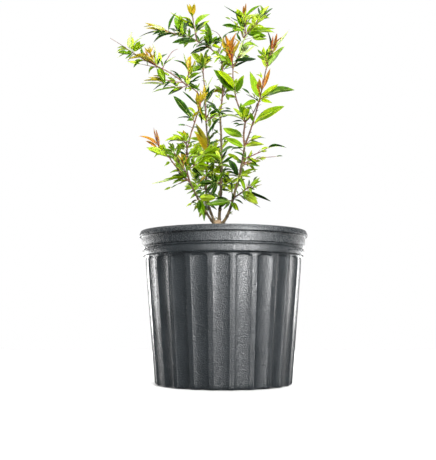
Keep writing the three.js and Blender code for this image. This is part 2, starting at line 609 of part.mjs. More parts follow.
// ---- twigs and leaves ----

function twigSolid(start, along, length) {
  const steps = Math.max(1, Math.round(length / twigStep));
  const path = [];
  const radii = [];
  for (let k = 0; k <= steps; k++) {
    const share = k / steps;
    path.push(twigPoint(start, along, length, share));
    radii.push(THREE.MathUtils.lerp(twigThick[0], twigThick[1], share) / 2);
  }
  return solidOf(rod(path, radii, twigSides));
}

function twigPoint(start, along, length, share) {
  return start.clone().addScaledVector(along, length * share)
    .addScaledVector(up, twigRise * length * share * share);
}

// A leaf is a flat eight-faced blade: root, tip, two edges and two faces.
function leafSolid(root, along, length, roll, kind) {
  const across = new THREE.Vector3().crossVectors(front, along);
  if (across.length() < 0.1) across.set(1, 0, 0).cross(along);
  across.normalize().applyAxisAngle(along, radians(roll));
  const normal = new THREE.Vector3().crossVectors(along, across);
  const middle = root.clone().addScaledVector(along, length * leafWidestAt);
  const halfWidth = (length * leafWidths[kind]) / 2;
  const points = [
    root.clone().addScaledVector(along, -leafRootSink),
    middle.clone().addScaledVector(across, halfWidth),
    middle.clone().addScaledVector(normal, leafThickness / 2),
    middle.clone().addScaledVector(across, -halfWidth),
    middle.clone().addScaledVector(normal, -leafThickness / 2),
    root.clone().addScaledVector(along, length).addScaledVector(up, -leafDroop * length),
  ];
  const triangles = [];
  for (let k = 1; k <= 4; k++) {
    const next = (k % 4) + 1;
    triangles.push([0, next, k], [5, k, next]);
  }
  return solidOf(meshGeometry(points.map((point) => point.toArray()), triangles));
}

// ---- growth of one mass ----

// Leaves along a twig: opposite pairs, each pair turned by a quarter, and a tuft at the end.
function growLeaves(start, along, length, pairs, leaf, tip, kind, random) {
  const found = [];
  const side = new THREE.Vector3().crossVectors(along, up).normalize();
  const addLeaf = (share, turn, opening, size) => {
    const axis = side.clone().applyAxisAngle(along, radians(turn));
    const heading = along.clone().applyAxisAngle(axis, radians(opening));
    const roll = 90 * (random() - 0.5);
    found.push({ root: twigPoint(start, along, length, share), along: heading, length: size, roll, kind });
  };
  const firstTurn = 180 * random();
  for (let k = 0; k < pairs; k++) {
    const share = (k + 0.6) / (pairs + 0.2);
    const opening = THREE.MathUtils.lerp(openings[0], openings[1], share);
    for (const half of [0, 180]) {
      const turn = firstTurn + 90 * k + half + angleJitter * (random() - 0.5);
      addLeaf(share, turn, opening + angleJitter * (random() - 0.5), leaf * (0.8 + 0.35 * random()));
    }
  }
  for (let k = 0; k < tip; k++) {
    const turn = firstTurn + (360 * k) / tip + angleJitter * (random() - 0.5);
    addLeaf(1, turn, tipOpening + angleJitter * (random() - 0.5), leaf * (0.7 + 0.3 * random()));
  }
  return found;
}

// The twigs, the leaves that stand out and the leaves that the rule adds, for one mass.
function growMass(mass) {
  const random = seededNumbers(mass.seed);
  const limb = limbs[mass.on];
  const start = limbPoint(limb, mass.at);
  const along = bearingVector(mass.stem[0], mass.stem[1]);
  const length = mass.stem[2];
  const twigs = [{ start, along, length }];
  const blades = mass.blades.map(([share, bearing, tilt, size, roll, kind], k) => ({
    root: twigPoint(start, along, length, share + (bladeStagger * ((k % 3) - 1)) / length),
    along: bearingVector(bearing, tilt), length: size, roll, kind,
  }));
  const leaves = growLeaves(start, along, length, mass.pairs, mass.leaf, mass.tip, mass.kind, random);
  for (const [share, bearing, tilt, size, pairs, leaf, tip, kind] of mass.shoots) {
    const foot = twigPoint(start, along, length, share);
    const heading = bearingVector(bearing, tilt);
    twigs.push({ start: foot, along: heading, length: size });
    leaves.push(...growLeaves(foot, heading, size, pairs, leaf, tip, kind, random));
  }
  return { twigs, blades, leaves };
}

// ---- assembly ----

const finished = []; // name, solid and finish of each piece
const keepOut = []; // every limb with the clearance around it

function subtractNear(solid, cutters) {
  const box = solid.boundingBox();
  return cutters
    .filter((cutter) => boxesMeet(box, cutter.boundingBox(), 0))
    .reduce((left, cutter) => left.subtract(cutter), solid);
}

finished.push({ name: 'pot', solid: makePot(), finish: 'pot' });
finished.push({ name: 'soil', solid: makeSoil(), finish: 'soil' });
finished.push({ name: 'trunk', solid: makeStump(), finish: 'bark' });
keepOut.push(makeStump(clearance));

// A limb ends where an earlier one has its skin, so that the two meet with the clearance between them.
for (const [name, limb] of Object.entries(limbs)) {
  limb.start = typeof limb.from === 'string' ? limbPoint(limbs[limb.from], 1) : vector(limb.from);
  const solid = largestBody(subtractNear(limbSolid(limb), keepOut));
  finished.push({ name, solid, finish: name.startsWith('stem') ? 'bark' : 'young_bark' });
  keepOut.push(limbSolid(limb, clearance));
}

const grown = masses.map((mass) => ({ mass, ...growMass(mass), parts: [] }));

function addPart(owner, solid) {
  owner.parts.push({ solid, box: solid.boundingBox() });
}

// Whether a piece comes nearer than the clearance to a part of another mass.
function touchesOthers(solid, owner) {
  const box = solid.boundingBox();
  return grown.some((other) => other !== owner && other.parts.some((part) =>
    boxesMeet(box, part.box, clearance) && solid.minGap(part.solid, 2 * clearance) < clearance));
}

// Whether a limb runs through a leaf, more than where the leaf's foot meets it.
function touchesLimbs(solid) {
  const rest = subtractNear(solid, keepOut);
  return rest.isEmpty() || largestBody(rest).volume() < leastClearShare * solid.volume();
}

for (const owner of grown) {
  owner.twigs.forEach(({ start, along, length }) => addPart(owner, twigSolid(start, along, length)));
}
for (const list of ['blades', 'leaves']) {
  for (const owner of grown) {
    for (const { root, along, length, roll, kind } of owner[list]) {
      const solid = leafSolid(root, along, length, roll, kind);
      if (!touchesLimbs(solid) && !touchesOthers(solid, owner)) addPart(owner, solid);
    }
  }
}
for (const { mass, parts } of grown) {
  const fused = wasm.Manifold.union(parts.map((part) => part.solid));
  const solid = largestBody(subtractNear(fused, keepOut)).simplify(smallestEdge);
  finished.push({ name: mass.name, solid, finish: mass.kind });
}

const group = new THREE.Group();
for (const { name, solid, finish } of finished) {
  const mesh = new THREE.Mesh(geometryOf(solid), new THREE.MeshStandardMaterial(finishes[finish]));
  mesh.name = name;
  group.add(mesh);
}
export default group;
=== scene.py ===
# A young pomegranate tree in its nursery pot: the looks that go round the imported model.
import math
import bpy
import numpy as np
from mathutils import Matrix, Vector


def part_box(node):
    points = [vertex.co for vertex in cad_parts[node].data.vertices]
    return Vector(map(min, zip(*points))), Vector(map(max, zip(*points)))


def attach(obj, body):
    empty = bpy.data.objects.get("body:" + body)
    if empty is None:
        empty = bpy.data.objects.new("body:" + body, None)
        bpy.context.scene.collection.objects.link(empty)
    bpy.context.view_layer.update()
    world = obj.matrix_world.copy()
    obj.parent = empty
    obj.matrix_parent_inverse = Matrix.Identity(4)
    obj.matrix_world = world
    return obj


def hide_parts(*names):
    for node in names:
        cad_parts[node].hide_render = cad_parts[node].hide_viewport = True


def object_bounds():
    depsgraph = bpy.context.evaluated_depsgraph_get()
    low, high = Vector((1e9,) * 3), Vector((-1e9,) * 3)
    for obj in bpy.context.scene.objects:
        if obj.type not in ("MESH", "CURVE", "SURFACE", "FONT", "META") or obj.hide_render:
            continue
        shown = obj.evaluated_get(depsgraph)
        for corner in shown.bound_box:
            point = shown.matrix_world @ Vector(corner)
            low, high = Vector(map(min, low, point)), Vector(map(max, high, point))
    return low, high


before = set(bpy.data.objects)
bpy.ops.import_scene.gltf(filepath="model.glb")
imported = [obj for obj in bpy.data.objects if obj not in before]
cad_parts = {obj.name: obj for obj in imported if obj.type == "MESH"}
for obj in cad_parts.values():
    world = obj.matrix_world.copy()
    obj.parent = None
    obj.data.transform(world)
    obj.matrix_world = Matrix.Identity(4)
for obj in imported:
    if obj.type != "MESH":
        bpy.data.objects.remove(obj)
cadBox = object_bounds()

# Lengths and places are in millimetres, and angles in degrees, unless a note says otherwise.
millimetre = 0.001
boxLow, boxHigh = (np.array(corner) / millimetre for corner in cadBox)
front = np.array([0.0, -1, 0])
upwards = np.array([0.0, 0, 1])


def srgb(red, green, blue):
    # A screen colour from 0 to 255 as the linear colour that a shader takes.
    share = np.array([red, green, blue]) / 255
    linear = np.where(share <= 0.04045, share / 12.92, ((share + 0.055) / 1.055) ** 2.4)
    return (*linear.tolist(), 1)


def mix(start, end, share):
    return start + (end - start) * share


def smooth(low, high, value):
    # 0 below low and 1 above high, with a soft S between them.
    share = np.clip((value - low) / (high - low), 0, 1)
    return share * share * (3 - 2 * share)


def between(spans, value):
    # 1 in the middle and 0 outside: rises over the first span and falls over the second.
    return smooth(*spans[0], value) * (1 - smooth(*spans[1], value))


def unit(vector):
    return vector / np.maximum(np.linalg.norm(vector, axis=-1, keepdims=True), 1e-9)


def turned(vector, axis, degrees):
    # v cos a + (axis x v) sin a + axis (axis . v)(1 - cos a), for a unit axis.
    angle = np.radians(degrees)
    return (vector * np.cos(angle) + np.cross(axis, vector) * np.sin(angle)
            + axis * np.sum(axis * vector, -1, keepdims=True) * (1 - np.cos(angle)))


def waves(points, size, seed, count=12):
    # Smooth noise: the mean of sine waves in random directions, each about one size long.
    rng = np.random.default_rng(seed)
    pace = 2 * np.pi / (size * rng.uniform(0.7, 1.5, (count, 1)))
    directions = unit(rng.normal(size=(count, 3))) * pace
    return np.sin(points @ directions.T + rng.uniform(0, 2 * np.pi, count)).mean(-1) * 2


def rounded(path, passes=3):
    # Each point moves to the mean of itself, twice, and its two neighbours; the ends stay.
    for _ in range(passes):
        path[1:-1] = (path[:-2] + 2 * path[1:-1] + path[2:]) / 4
    return path


def strays(points, size, seed):
    # Smooth noise along each of the three axes.
    return np.stack([waves(points, size, seed + k) for k in range(3)], -1)


def rotated(angles):
    # Turning matrices, one for each row of three angles in radians.
    (sx, sy, sz), (cx, cy, cz) = np.sin(angles).T, np.cos(angles).T
    return np.stack([cy * cz, sx * sy * cz - cx * sz, cx * sy * cz + sx * sz,
                     cy * sz, sx * sy * sz + cx * cz, cx * sy * sz - sx * cz,
                     -sy, sx * cy, cx * cy], -1).reshape(-1, 3, 3)


def roundTurn(sides):
    # Even steps once round, in radians.
    return 2 * np.pi * np.arange(sides) / sides


def ringPoints(radius, turn, height):
    # Points round the Z axis: each ring has its radius and height, and each side its turn in radians.
    return np.stack([radius * np.cos(turn), radius * np.sin(turn), height + 0 * turn], -1)


def circlesAlong(along, reference, sides):
    # Unit circles square to the steps of a path: cos a across + sin a normal.
    across = unit(np.cross(np.broadcast_to(reference, along.shape), along))
    normal = np.cross(along, across)
    turn = roundTurn(sides)[:, None]
    return np.cos(turn) * across[..., None, :] + np.sin(turn) * normal[..., None, :]


# A shape is its points, its squares and its triangles.
noQuads = np.zeros((0, 4), int)


def gridQuads(rows, columns):
    # Squares between each ring and the next, closed round the ring.
    ring, here = np.meshgrid(np.arange(rows - 1), np.arange(columns), indexing="ij")
    beside = (here + 1) % columns
    low, high = ring * columns, (ring + 1) * columns
    return np.stack([low + here, low + beside, high + beside, high + here], -1).reshape(-1, 4)


def capTriangles(rows, columns):
    # Fans that close the first and the last ring to the two points that follow the rings.
    here = np.arange(columns)
    beside = (here + 1) % columns
    foot = rows * columns
    last = (rows - 1) * columns
    low = np.stack([np.full(columns, foot), beside, here], -1)
    high = np.stack([np.full(columns, foot + 1), last + here, last + beside], -1)
    return np.concatenate([low, high])


def closedSkin(skin, foot, tip):
    # Rings of points, rings x sides x 3, closed to a point at either end.
    rings, sides = skin.shape[:2]
    points = np.concatenate([skin.reshape(-1, 3), [foot, tip]])
    return points, gridQuads(rings, sides), capTriangles(rings, sides)


def repeated(points, quads, triangles):
    # Many copies of one shape: points is copies x vertices x 3, the faces are those of one copy.
    copies, count = points.shape[:2]
    shift = (np.arange(copies) * count)[:, None, None]
    return (points.reshape(-1, 3), (quads + shift).reshape(-1, 4), (triangles + shift).reshape(-1, 3))


def rods(paths, radii, sides):
    # Round rods, all with as many points: a ring is its path's point plus its radius times a circle
    # square to the path. paths is rods x rings x 3 and radii is rods x rings.
    whole = unit(paths[:, -1] - paths[:, 0])
    reference = np.where(np.abs(whole[:, 1:2]) < 0.9, [[0.0, -1, 0]], [[1.0, 0, 0]])
    circles = circlesAlong(unit(np.gradient(paths, axis=1)), reference[:, None], sides)
    skin = paths[:, :, None] + circles * radii[:, :, None, None]
    count, rings = radii.shape
    points = np.concatenate([skin.reshape(count, -1, 3), paths[:, :1], paths[:, -1:]], 1)
    return repeated(points, gridQuads(rings, sides), capTriangles(rings, sides))


def addObject(name, data):
    thing = bpy.data.objects.new(name, data)
    bpy.context.scene.collection.objects.link(thing)
    return thing


def makePiece(name, shape, material, nodes=(), creaseAngle=40):
    # Puts a shape into a mesh object at the origin, and says what it stands for.
    points, quads, triangles = shape
    mesh = bpy.data.meshes.new(name)
    mesh.vertices.add(len(points))
    mesh.vertices.foreach_set("co", (points * millimetre).astype(np.float32).ravel())
    corners = np.concatenate([quads.ravel(), triangles.ravel()]).astype(np.int32)
    mesh.loops.add(len(corners))
    mesh.loops.foreach_set("vertex_index", corners)
    starts = np.concatenate([np.arange(len(quads)) * 4,
                             len(quads) * 4 + np.arange(len(triangles)) * 3]).astype(np.int32)
    mesh.polygons.add(len(starts))
    mesh.polygons.foreach_set("loop_start", starts)
    mesh.update(calc_edges=True)
    mesh.shade_smooth()
    mesh.set_sharp_from_angle(angle=math.radians(creaseAngle))
    mesh.materials.append(material)
    piece = addObject(name, mesh)
    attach(piece, "root")
    if nodes:
        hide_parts(*nodes)
    return piece


# The stems and boughs. start is a point inside the stump, or the limb that carries this one at its
# tip. reach runs from start to tip, bend is how far the middle stands off the straight line, thick
# the diameters at start and tip, and sway an S along X.
def limbOf(start, reach, bend, thick, sway=0):
    return dict(start=start, reach=reach, bend=bend, thick=thick, sway=sway)


limbs = {
    "stem_left_outer": limbOf((-13, 0, 260), (-42, -33, 69), (-2, 0, -1), (4.3, 2.8)),
    "stem_left_inner": limbOf((-11, 1, 260), (-19, 34, 186), (-8, 0, -4), (4.4, 2.5), -5),
    "stem_centre": limbOf((-8, 0, 261), (2, 2, 192), (4, 0, 0), (5.3, 3)),
    "stem_right": limbOf((-5, -1, 260), (21, -13, 45), (2, 0, -3), (5.2, 4.1)),
    "stem_right_upper": limbOf("stem_right", (19, -10, 85), (2, 0, 0), (4.1, 3.2)),
    "bough_left_low": limbOf("stem_left_outer", (-32, -30, 35), (0, 0, -2), (2.5, 1.9)),
    "bough_left_mid": limbOf("stem_left_outer", (16, -2, 125), (-11, 0, 0), (2.9, 2), -2),
    "bough_left_upper": limbOf("bough_left_mid", (-21, -15, 32), (8, 0, 4), (2.1, 1.9)),
    "bough_left_reach": limbOf("bough_left_upper", (-44, -15, 26), (1, 0, 2), (2, 1.7)),
    "bough_inner_top": limbOf("stem_left_inner", (-6, 35, 101), (1, 0, 0), (2.5, 1.9)),
    "bough_centre_top": limbOf("stem_centre", (3, 28, 102), (4, 0, -1), (2.8, 2.1)),
    "bough_top_left": limbOf("bough_centre_top", (-44, 28, 44), (2, 0, 3), (2.4, 1.9)),
    "bough_right_dark": limbOf("stem_right_upper", (2, 8, 44), (-2, 0, 0), (3.1, 2.6)),
    "bough_right_inner": limbOf("bough_right_dark", (-20, 45, 105), (-6, 0, -3), (2.5, 1.8)),
    "bough_right_red": limbOf("bough_right_dark", (19, -25, 26), (2, 0, -2), (2.1, 1.7)),
    "bough_right_outer": limbOf("stem_right_upper", (33, -48, 115), (3, 0, 0), (2.7, 1.8)),
    "bough_right_low": limbOf("stem_right", (15, -33, 6), (0, 0, 0), (2.8, 2.1)),
    "bough_top_right": limbOf("bough_right_inner", (22, 18, 68), (2, 0, -1), (2, 1.6)),
}
collar = {"growth": 0.3, "length": 5}   # how much thicker a limb is where it leaves its parent


def limbPoint(name, share):
    # start + reach s + 4 bend s(1 - s), and sway sin(2 pi s) along X.
    limb = limbs[name]
    start = limb["start"]
    start = limbPoint(start, 1.0) if isinstance(start, str) else np.array(start, float)
    share = np.asarray(share, float)[..., None]
    sway = np.array([limb["sway"], 0, 0])
    return (start + np.array(limb["reach"]) * share + np.array(limb["bend"]) * 4 * share * (1 - share)
            + sway * np.sin(2 * np.pi * share))


def limbLength(name):
    return float(np.linalg.norm(limbs[name]["reach"]))


def limbRadius(name, share):
    # Falls evenly from start to tip, with a collar that fades off.
    first, last = limbs[name]["thick"]
    thicker = 1 + collar["growth"] * np.exp(-np.asarray(share) * limbLength(name) / collar["length"])
    return mix(first, last, np.asarray(share)) / 2 * thicker


# The kinds of leaf, by colour; the dark kind is partly deep green leaves and partly painted shade.
kinds = ("green", "dark", "lime", "bright", "bronze", "orange", "red", "pale")
green, dark, lime, bright, bronze, orange, red, pale = kinds


# The masses of twigs and leaves. on and at: the limb that carries it, and how far along. stem:
# bearing, tilt and length; a bearing is seen from the front, 0 to the right and 90 up, and a tilt
# leans away from the front. pairs, leaf, tip, kind: opposite leaves along the stem, their length, and
# the leaves at its end. blades: leaves that stand out: share of the stem, bearing, tilt, length, roll
# and kind. shoots: side twigs: share, bearing, tilt, length, pairs, leaf, tip and kind. fine: the
# share of the finer shoots that grow on it.
def massOf(name, on, at, seed, stem, pairs, leaf, tip, kind, blades, shoots=(), fine=1):
    return dict(name=name, on=on, at=at, seed=seed, stem=stem, pairs=pairs, leaf=leaf, tip=tip,
                kind=kind, blades=blades, shoots=shoots, fine=fine)


masses = (
    massOf("leaves_low_left", "stem_left_inner", 0.2, 3, (150, -45, 12), 1, 20, 2, dark,
        ((0.8, -95, -20, 30, 10, green), (0.8, -114, -10, 25, 10, lime), (0.9, -14, -30, 26, 10, lime),
         (0.9, 212, -10, 24, 50, dark))),
    massOf("leaves_left_hub", "bough_left_mid", 0.06, 11, (126, -40, 50), 3, 27, 4, green,
        ((0.12, 188, -25, 42, 75, green), (0.12, 210, -10, 27, 60, green), (0.15, 60, -60, 26, 20, bright))),
    massOf("leaves_left_inside", "bough_left_mid", 0.16, 5, (22, -30, 20), 2, 30, 3, green,
        ((0.5, 5, -35, 34, 10, bright), (0.5, -40, -20, 26, 20, dark))),
    massOf("leaves_left_low_tip", "bough_left_low", 1, 8, (137, -15, 24), 1, 24, 0, green,
        ((0.15, 156, -20, 40, 15, lime), (1, 150, -5, 38, 30, orange), (0.95, 103, 0, 34, 70, red),
         (0.2, 110, -45, 28, 20, lime), (0.3, 178, 40, 28, 40, green)), fine=0.4),
    massOf("leaves_left_core", "bough_left_mid", 0.32, 21, (12, 15, 34), 3, 29, 3, green,
        ((0.4, 75, -20, 26, 30, lime), (0.9, 20, -20, 30, 10, green)),
        ((0.1, 98, -35, 30, 1, 16, 1, green),)),
    massOf("leaves_left_side", "bough_left_mid", 0.46, 13, (120, -40, 12), 0, 24, 1, green,
        ((1, 146, -10, 25, 20, green), (1, 177, -15, 33, 35, green), (0.6, 200, 40, 26, 30, green))),
    massOf("leaves_left_node", "bough_left_mid", 0.8, 2, (140, -40, 8), 1, 22, 0, green,
        ((1, 127, -12, 52, 15, dark), (0.8, 165, 25, 30, 70, dark), (0.8, 40, -50, 24, 30, bronze))),
    massOf("leaves_left_tuft", "bough_left_mid", 0.96, 17, (75, -35, 10), 0, 24, 3, bronze,
        ((0.8, 95, -15, 26, 15, bronze), (0.8, -80, -30, 20, 10, bronze), (0.9, 60, 0, 26, 20, bronze))),
    massOf("leaves_left_crook", "bough_left_upper", 1, 9, (84, 10, 20), 1, 24, 1, green,
        ((1, 86, 0, 32, 10, bronze), (1, 102, 20, 26, 20, lime), (0.2, -32, -20, 28, 20, dark),
         (0.3, 24, 10, 22, 70, dark), (0.7, 60, -30, 22, 20, green))),
    massOf("leaves_left_spur", "bough_left_reach", 0.14, 6, (184, -25, 30), 1, 18, 1, green,
        ((1, 178, -10, 38, 60, bronze), (1, 158, 0, 24, 60, bronze), (0.6, 218, 0, 20, 40, dark),
         (0.7, 197, 10, 34, 75, dark), (0.4, 150, -10, 17, 10, green)), fine=0.5),
    massOf("leaves_left_reach", "bough_left_reach", 1, 14, (153, 5, 58), 1, 22, 1, green,
        ((0.06, -62, -15, 28, 10, bright), (0.06, 169, -25, 52, 75, bronze), (0.06, 57, 15, 32, 75, dark),
         (0.93, 85, 0, 27, 25, lime), (0.95, 187, -15, 22, 60, lime), (0.95, 206, 5, 22, 50, lime),
         (1, 150, 0, 34, 75, dark), (0.88, 62, -15, 20, 0, dark), (0.85, 40, 10, 28, 35, green),
         (0.1, 200, 50, 26, 30, green), (0.8, 230, -10, 16, 60, green)),
        ((0.25, 100, -10, 14, 1, 20, 4, bronze), (0.4, 150, 55, 20, 1, 22, 2, green)), fine=0.5),
    massOf("leaves_inner_low", "stem_left_inner", 0.36, 19, (168, 15, 18), 2, 27, 3, green,
        ((0.7, 172, -25, 28, 15, bright),), ((0.5, 115, 40, 24, 1, 26, 2, green),)),
    massOf("leaves_inner_mid", "stem_left_inner", 0.5, 4, (15, -45, 16), 2, 27, 3, green,
        ((0.6, -30, -20, 30, 20, green),), ((0.6, 45, 30, 22, 1, 25, 2, green),)),
    massOf("leaves_inner_orange", "stem_left_inner", 0.66, 7, (100, -50, 9), 1, 24, 0, green,
        ((0.9, 116, -5, 48, 10, bronze), (0.9, 72, 25, 34, 60, dark), (0.6, 165, -35, 30, 30, lime),
         (0.6, 200, 20, 28, 30, green)), ((0.5, 25, -45, 18, 1, 24, 2, lime),)),
    massOf("leaves_inner_upper", "bough_inner_top", 0.05, 12, (60, -30, 9), 0, 20, 1, dark,
        ((0.9, 74, 15, 38, 70, pale), (0.9, 28, -10, 28, 45, dark), (0.6, 150, 30, 22, 20, bronze)),
        ((0.3, 20, 60, 22, 1, 24, 2, green),)),
    massOf("leaves_inner_top", "bough_inner_top", 1, 16, (92, 10, 12), 1, 20, 2, green,
        ((0.9, 78, 0, 29, 20, dark), (0.9, 99, -20, 25, 10, lime), (0.5, 64, 10, 20, 40, bronze),
         (0.7, 132, 20, 25, 30, green), (0.6, 172, -10, 17, 40, green), (0.3, 48, -10, 27, 75, dark),
         (0.1, 203, -20, 34, 78, dark)), ((0.3, 120, 60, 18, 1, 24, 2, green),)),
    massOf("leaves_centre_back", "stem_centre", 0.3, 18, (70, 60, 46), 3, 28, 3, green,
        (), ((0.45, 150, 30, 26, 2, 26, 2, green), (0.5, 15, 40, 28, 1, 26, 2, green))),
    massOf("leaves_centre_front", "stem_centre", 0.37, 23, (195, -62, 24), 3, 28, 3, dark,
        ((0.8, 180, -10, 26, 30, pale), (0.7, 60, -20, 24, 15, green))),
    massOf("leaves_centre_mid", "stem_centre", 0.52, 1, (110, -50, 9), 1, 22, 0, green,
        ((0.7, 35, -20, 30, 70, dark), (0.9, 56, 15, 24, 70, lime), (0.9, 114, -10, 28, 15, lime),
         (0.8, 165, 10, 20, 30, dark))),
    massOf("leaves_centre_upper", "stem_centre", 0.94, 22, (60, -50, 8), 0, 20, 0, green,
        ((0.8, 20, -20, 15, 0, dark), (0.9, 137, -5, 36, 78, dark), (0.9, -2, -10, 28, 65, pale),
         (0.6, 238, -25, 30, 40, dark))),
    massOf("leaves_upper_back", "bough_centre_top", 0.3, 26, (60, 45, 42), 3, 25, 3, green,
        (), ((0.4, 120, 55, 24, 1, 24, 2, bronze),)),
    massOf("leaves_top_hub", "bough_top_left", 0.45, 10, (100, -30, 10), 2, 22, 1, dark,
        ((0.8, 92, 0, 30, 15, dark), (0.8, 32, -20, 24, 25, dark), (0.6, 190, -15, 28, 35, dark),
         (0.9, 62, 25, 28, 35, green), (0.8, -20, -20, 22, 30, green), (0.9, 140, -40, 22, 20, green))),
    massOf("leaves_top_left", "bough_top_left", 1, 15, (101, 5, 46), 1, 15, 0, dark,
        ((0.5, 132, -20, 17, 0, dark), (0.4, 36, -10, 34, 30, lime), (0.25, 48, 15, 25, 60, dark),
         (1, 101, 0, 25, 15, bronze), (1, 78, -10, 23, 30, bronze), (1, 90, 20, 20, 60, bronze))),
    massOf("leaves_top_reach", "bough_top_left", 0.86, 24, (166, -5, 66), 1, 17, 0, dark,
        ((0.56, 65, 5, 34, 65, dark), (0.48, 94, -10, 28, 5, bright), (0.3, 45, 0, 16, 30, dark),
         (0.42, 143, 10, 30, 65, dark), (1, 153, 0, 27, 25, pale), (1, 165, -15, 28, 20, pale),
         (1, 178, 10, 24, 40, pale), (0.7, 188, 20, 44, 80, dark), (0.08, 195, -30, 38, 20, dark),
         (0.35, 160, 50, 26, 30, green), (0.1, 175, 30, 22, 55, dark)),
        ((0.25, 130, 55, 20, 1, 22, 2, green),), fine=0.5),
    massOf("leaves_crown_right", "bough_right_inner", 0.58, 20, (90, -45, 7), 0, 20, 0, green,
        ((0.8, 131, -10, 48, 20, green), (0.8, 58, -10, 30, 0, bright))),
    massOf("leaves_crown_orange", "bough_right_inner", 1, 27, (96, -25, 26), 0, 20, 2, orange,
        ((0.3, 106, -5, 42, 15, orange), (0.6, 90, 0, 38, 20, orange), (0.7, 76, -10, 30, 30, red),
         (0.2, 122, -20, 24, 10, bright), (0.1, 152, -10, 24, 40, green), (0.4, 8, -10, 42, 78, dark),
         (0.1, 27, -15, 30, 78, dark), (0.1, 186, 10, 18, 60, dark)),
        ((0.2, 130, 60, 18, 1, 24, 2, green),)),
    massOf("leaves_crown_pale", "bough_top_right", 0.3, 25, (40, -50, 7), 0, 22, 0, pale,
        ((0.8, 66, -10, 52, 55, pale), (0.8, 20, 40, 26, 40, green))),
    massOf("leaves_crown_top", "bough_top_right", 1, 28, (101, 10, 27), 1, 22, 1, lime,
        ((0.2, 112, -10, 44, 15, green), (1, 84, 0, 28, 40, red), (0.8, 36, 10, 32, 40, lime),
         (0.05, 4, -15, 54, 65, lime), (0.1, 166, -10, 24, 25, green), (0.7, 147, 0, 26, 70, dark),
         (0.35, 148, 15, 30, 70, dark), (0.05, -12, -25, 42, 35, green)),
        ((0.3, 160, 60, 18, 1, 22, 2, green), (0.4, 60, -60, 20, 1, 22, 2, lime)), fine=0.5),
    massOf("leaves_crown_sprig", "bough_top_right", 0.93, 30, (43, -25, 42), 1, 20, 0, lime,
        ((0.15, 46, -5, 30, 20, green), (1, 56, 0, 27, 20, lime), (0.9, 97, 0, 22, 60, dark),
         (0.9, 40, -10, 25, 75, dark), (0.7, 110, -20, 16, 0, lime), (0.9, 20, 30, 22, 40, green)),
        fine=0.4),
    massOf("leaves_right_low", "stem_right", 0.93, 29, (190, -50, 7), 1, 20, 0, dark,
        ((0.9, 184, -5, 42, 25, green), (0.9, 165, 25, 28, 40, dark), (0.5, -62, -20, 19, 0, green),
         (0.9, 205, 30, 24, 30, dark))),
    massOf("leaves_right_spur", "bough_right_low", 1, 31, (38, -20, 22), 1, 15, 2, dark,
        ((0.1, -26, -20, 28, 5, lime), (0.1, -14, 15, 48, 75, dark), (0.1, 98, 30, 24, 20, green),
         (0.2, -80, -50, 22, 20, green)), ((0.3, 10, -55, 20, 1, 24, 2, green),), fine=0.4),
    massOf("leaves_right_node", "stem_right_upper", 0.38, 32, (60, -50, 7), 0, 20, 0, green,
        ((0.8, 120, -20, 36, 15, dark), (0.8, 24, -10, 33, 45, green), (0.6, -66, -20, 24, 15, green),
         (0.6, 168, 25, 32, 60, dark), (0.9, 10, -40, 18, 5, lime), (0.6, 45, 60, 26, 30, green)),
        fine=0.5),
    massOf("leaves_right_arch", "stem_right_upper", 0.75, 33, (17, -20, 44), 2, 13, 0, green,
        ((1, 6, -10, 34, 70, dark), (0.15, -32, 0, 22, 50, dark), (0.1, 150, -20, 24, 60, dark)),
        fine=0.4),
    massOf("leaves_right_back", "stem_right_upper", 0.6, 34, (50, 62, 46), 3, 27, 3, green,
        (), ((0.4, 20, 20, 26, 1, 24, 2, green), (0.5, 140, 50, 24, 1, 25, 2, green)), fine=0.4),
    massOf("leaves_right_fork", "stem_right_upper", 0.95, 35, (90, -60, 6), 0, 20, 0, bright,
        ((0.8, 153, -20, 40, 5, bright), (0.8, 14, 5, 34, 35, green), (0.5, 180, 10, 20, 60, dark))),
    massOf("leaves_right_dark", "bough_right_dark", 0.96, 36, (140, -40, 9), 0, 24, 0, green,
        ((0.9, 128, -10, 28, 20, green), (0.9, 96, -20, 30, 10, green), (0.6, 70, -30, 24, 20, green),
         (0.9, 168, 5, 46, 75, pale), (0.4, 182, -10, 22, 40, dark)), fine=0.5),
    massOf("leaves_right_hub", "bough_right_outer", 0.58, 37, (60, -40, 10), 0, 24, 0, green,
        ((0.9, 18, -10, 58, 65, green), (0.9, 40, -15, 38, 35, green), (0.5, 110, -15, 52, 10, bright),
         (0.9, 98, -25, 32, 20, orange), (0.4, 144, 15, 28, 70, dark), (0.5, -25, -40, 26, 20, green))),
    massOf("leaves_right_blade", "bough_right_outer", 0.3, 38, (35, -30, 7), 0, 24, 0, green,
        ((0.8, 31, -10, 58, 20, green), (0.6, 120, -50, 26, 20, green))),
    massOf("leaves_right_tip", "bough_right_outer", 1, 39, (73, -10, 30), 1, 22, 0, lime,
        ((0.1, 97, -15, 39, 8, lime), (0.1, 54, -5, 49, 45, green), (1, 83, 0, 28, 25, red),
         (1, 56, 5, 36, 65, red), (0.95, 98, -5, 38, 70, dark)), ((0.3, 120, -60, 18, 1, 22, 2, green),),
        fine=0.4),
)

growth = {
    "widths": {green: 0.25, bright: 0.26, lime: 0.25, dark: 0.23, bronze: 0.21, orange: 0.18,
               red: 0.15, pale: 0.13},      # of a leaf, as a share of its length
    "openings": (68, 30),           # a leaf's angle to its twig, at the twig's foot and at its tip
    "tipOpening": 24,
    "jitter": 16,
    "roll": 90,                     # from one side to the other
    "pairSize": (0.8, 0.35),        # least share of the leaf length, and how much chance adds
    "tipSize": (0.7, 0.3),
    "stagger": 1.5,                 # leaves that stand out leave the stem this far apart
    "rise": 0.08,                   # how far a twig's tip curves up, as a share of its length
    "twigThick": (2.0, 1.3),
}
leaves = []               # root, direction, length, roll, kind, spray and width as a factor
twigs = []                # start, direction, length, first and last radius
seedRule = {"step": 7919, "factor": 16807, "modulus": 2147483647}


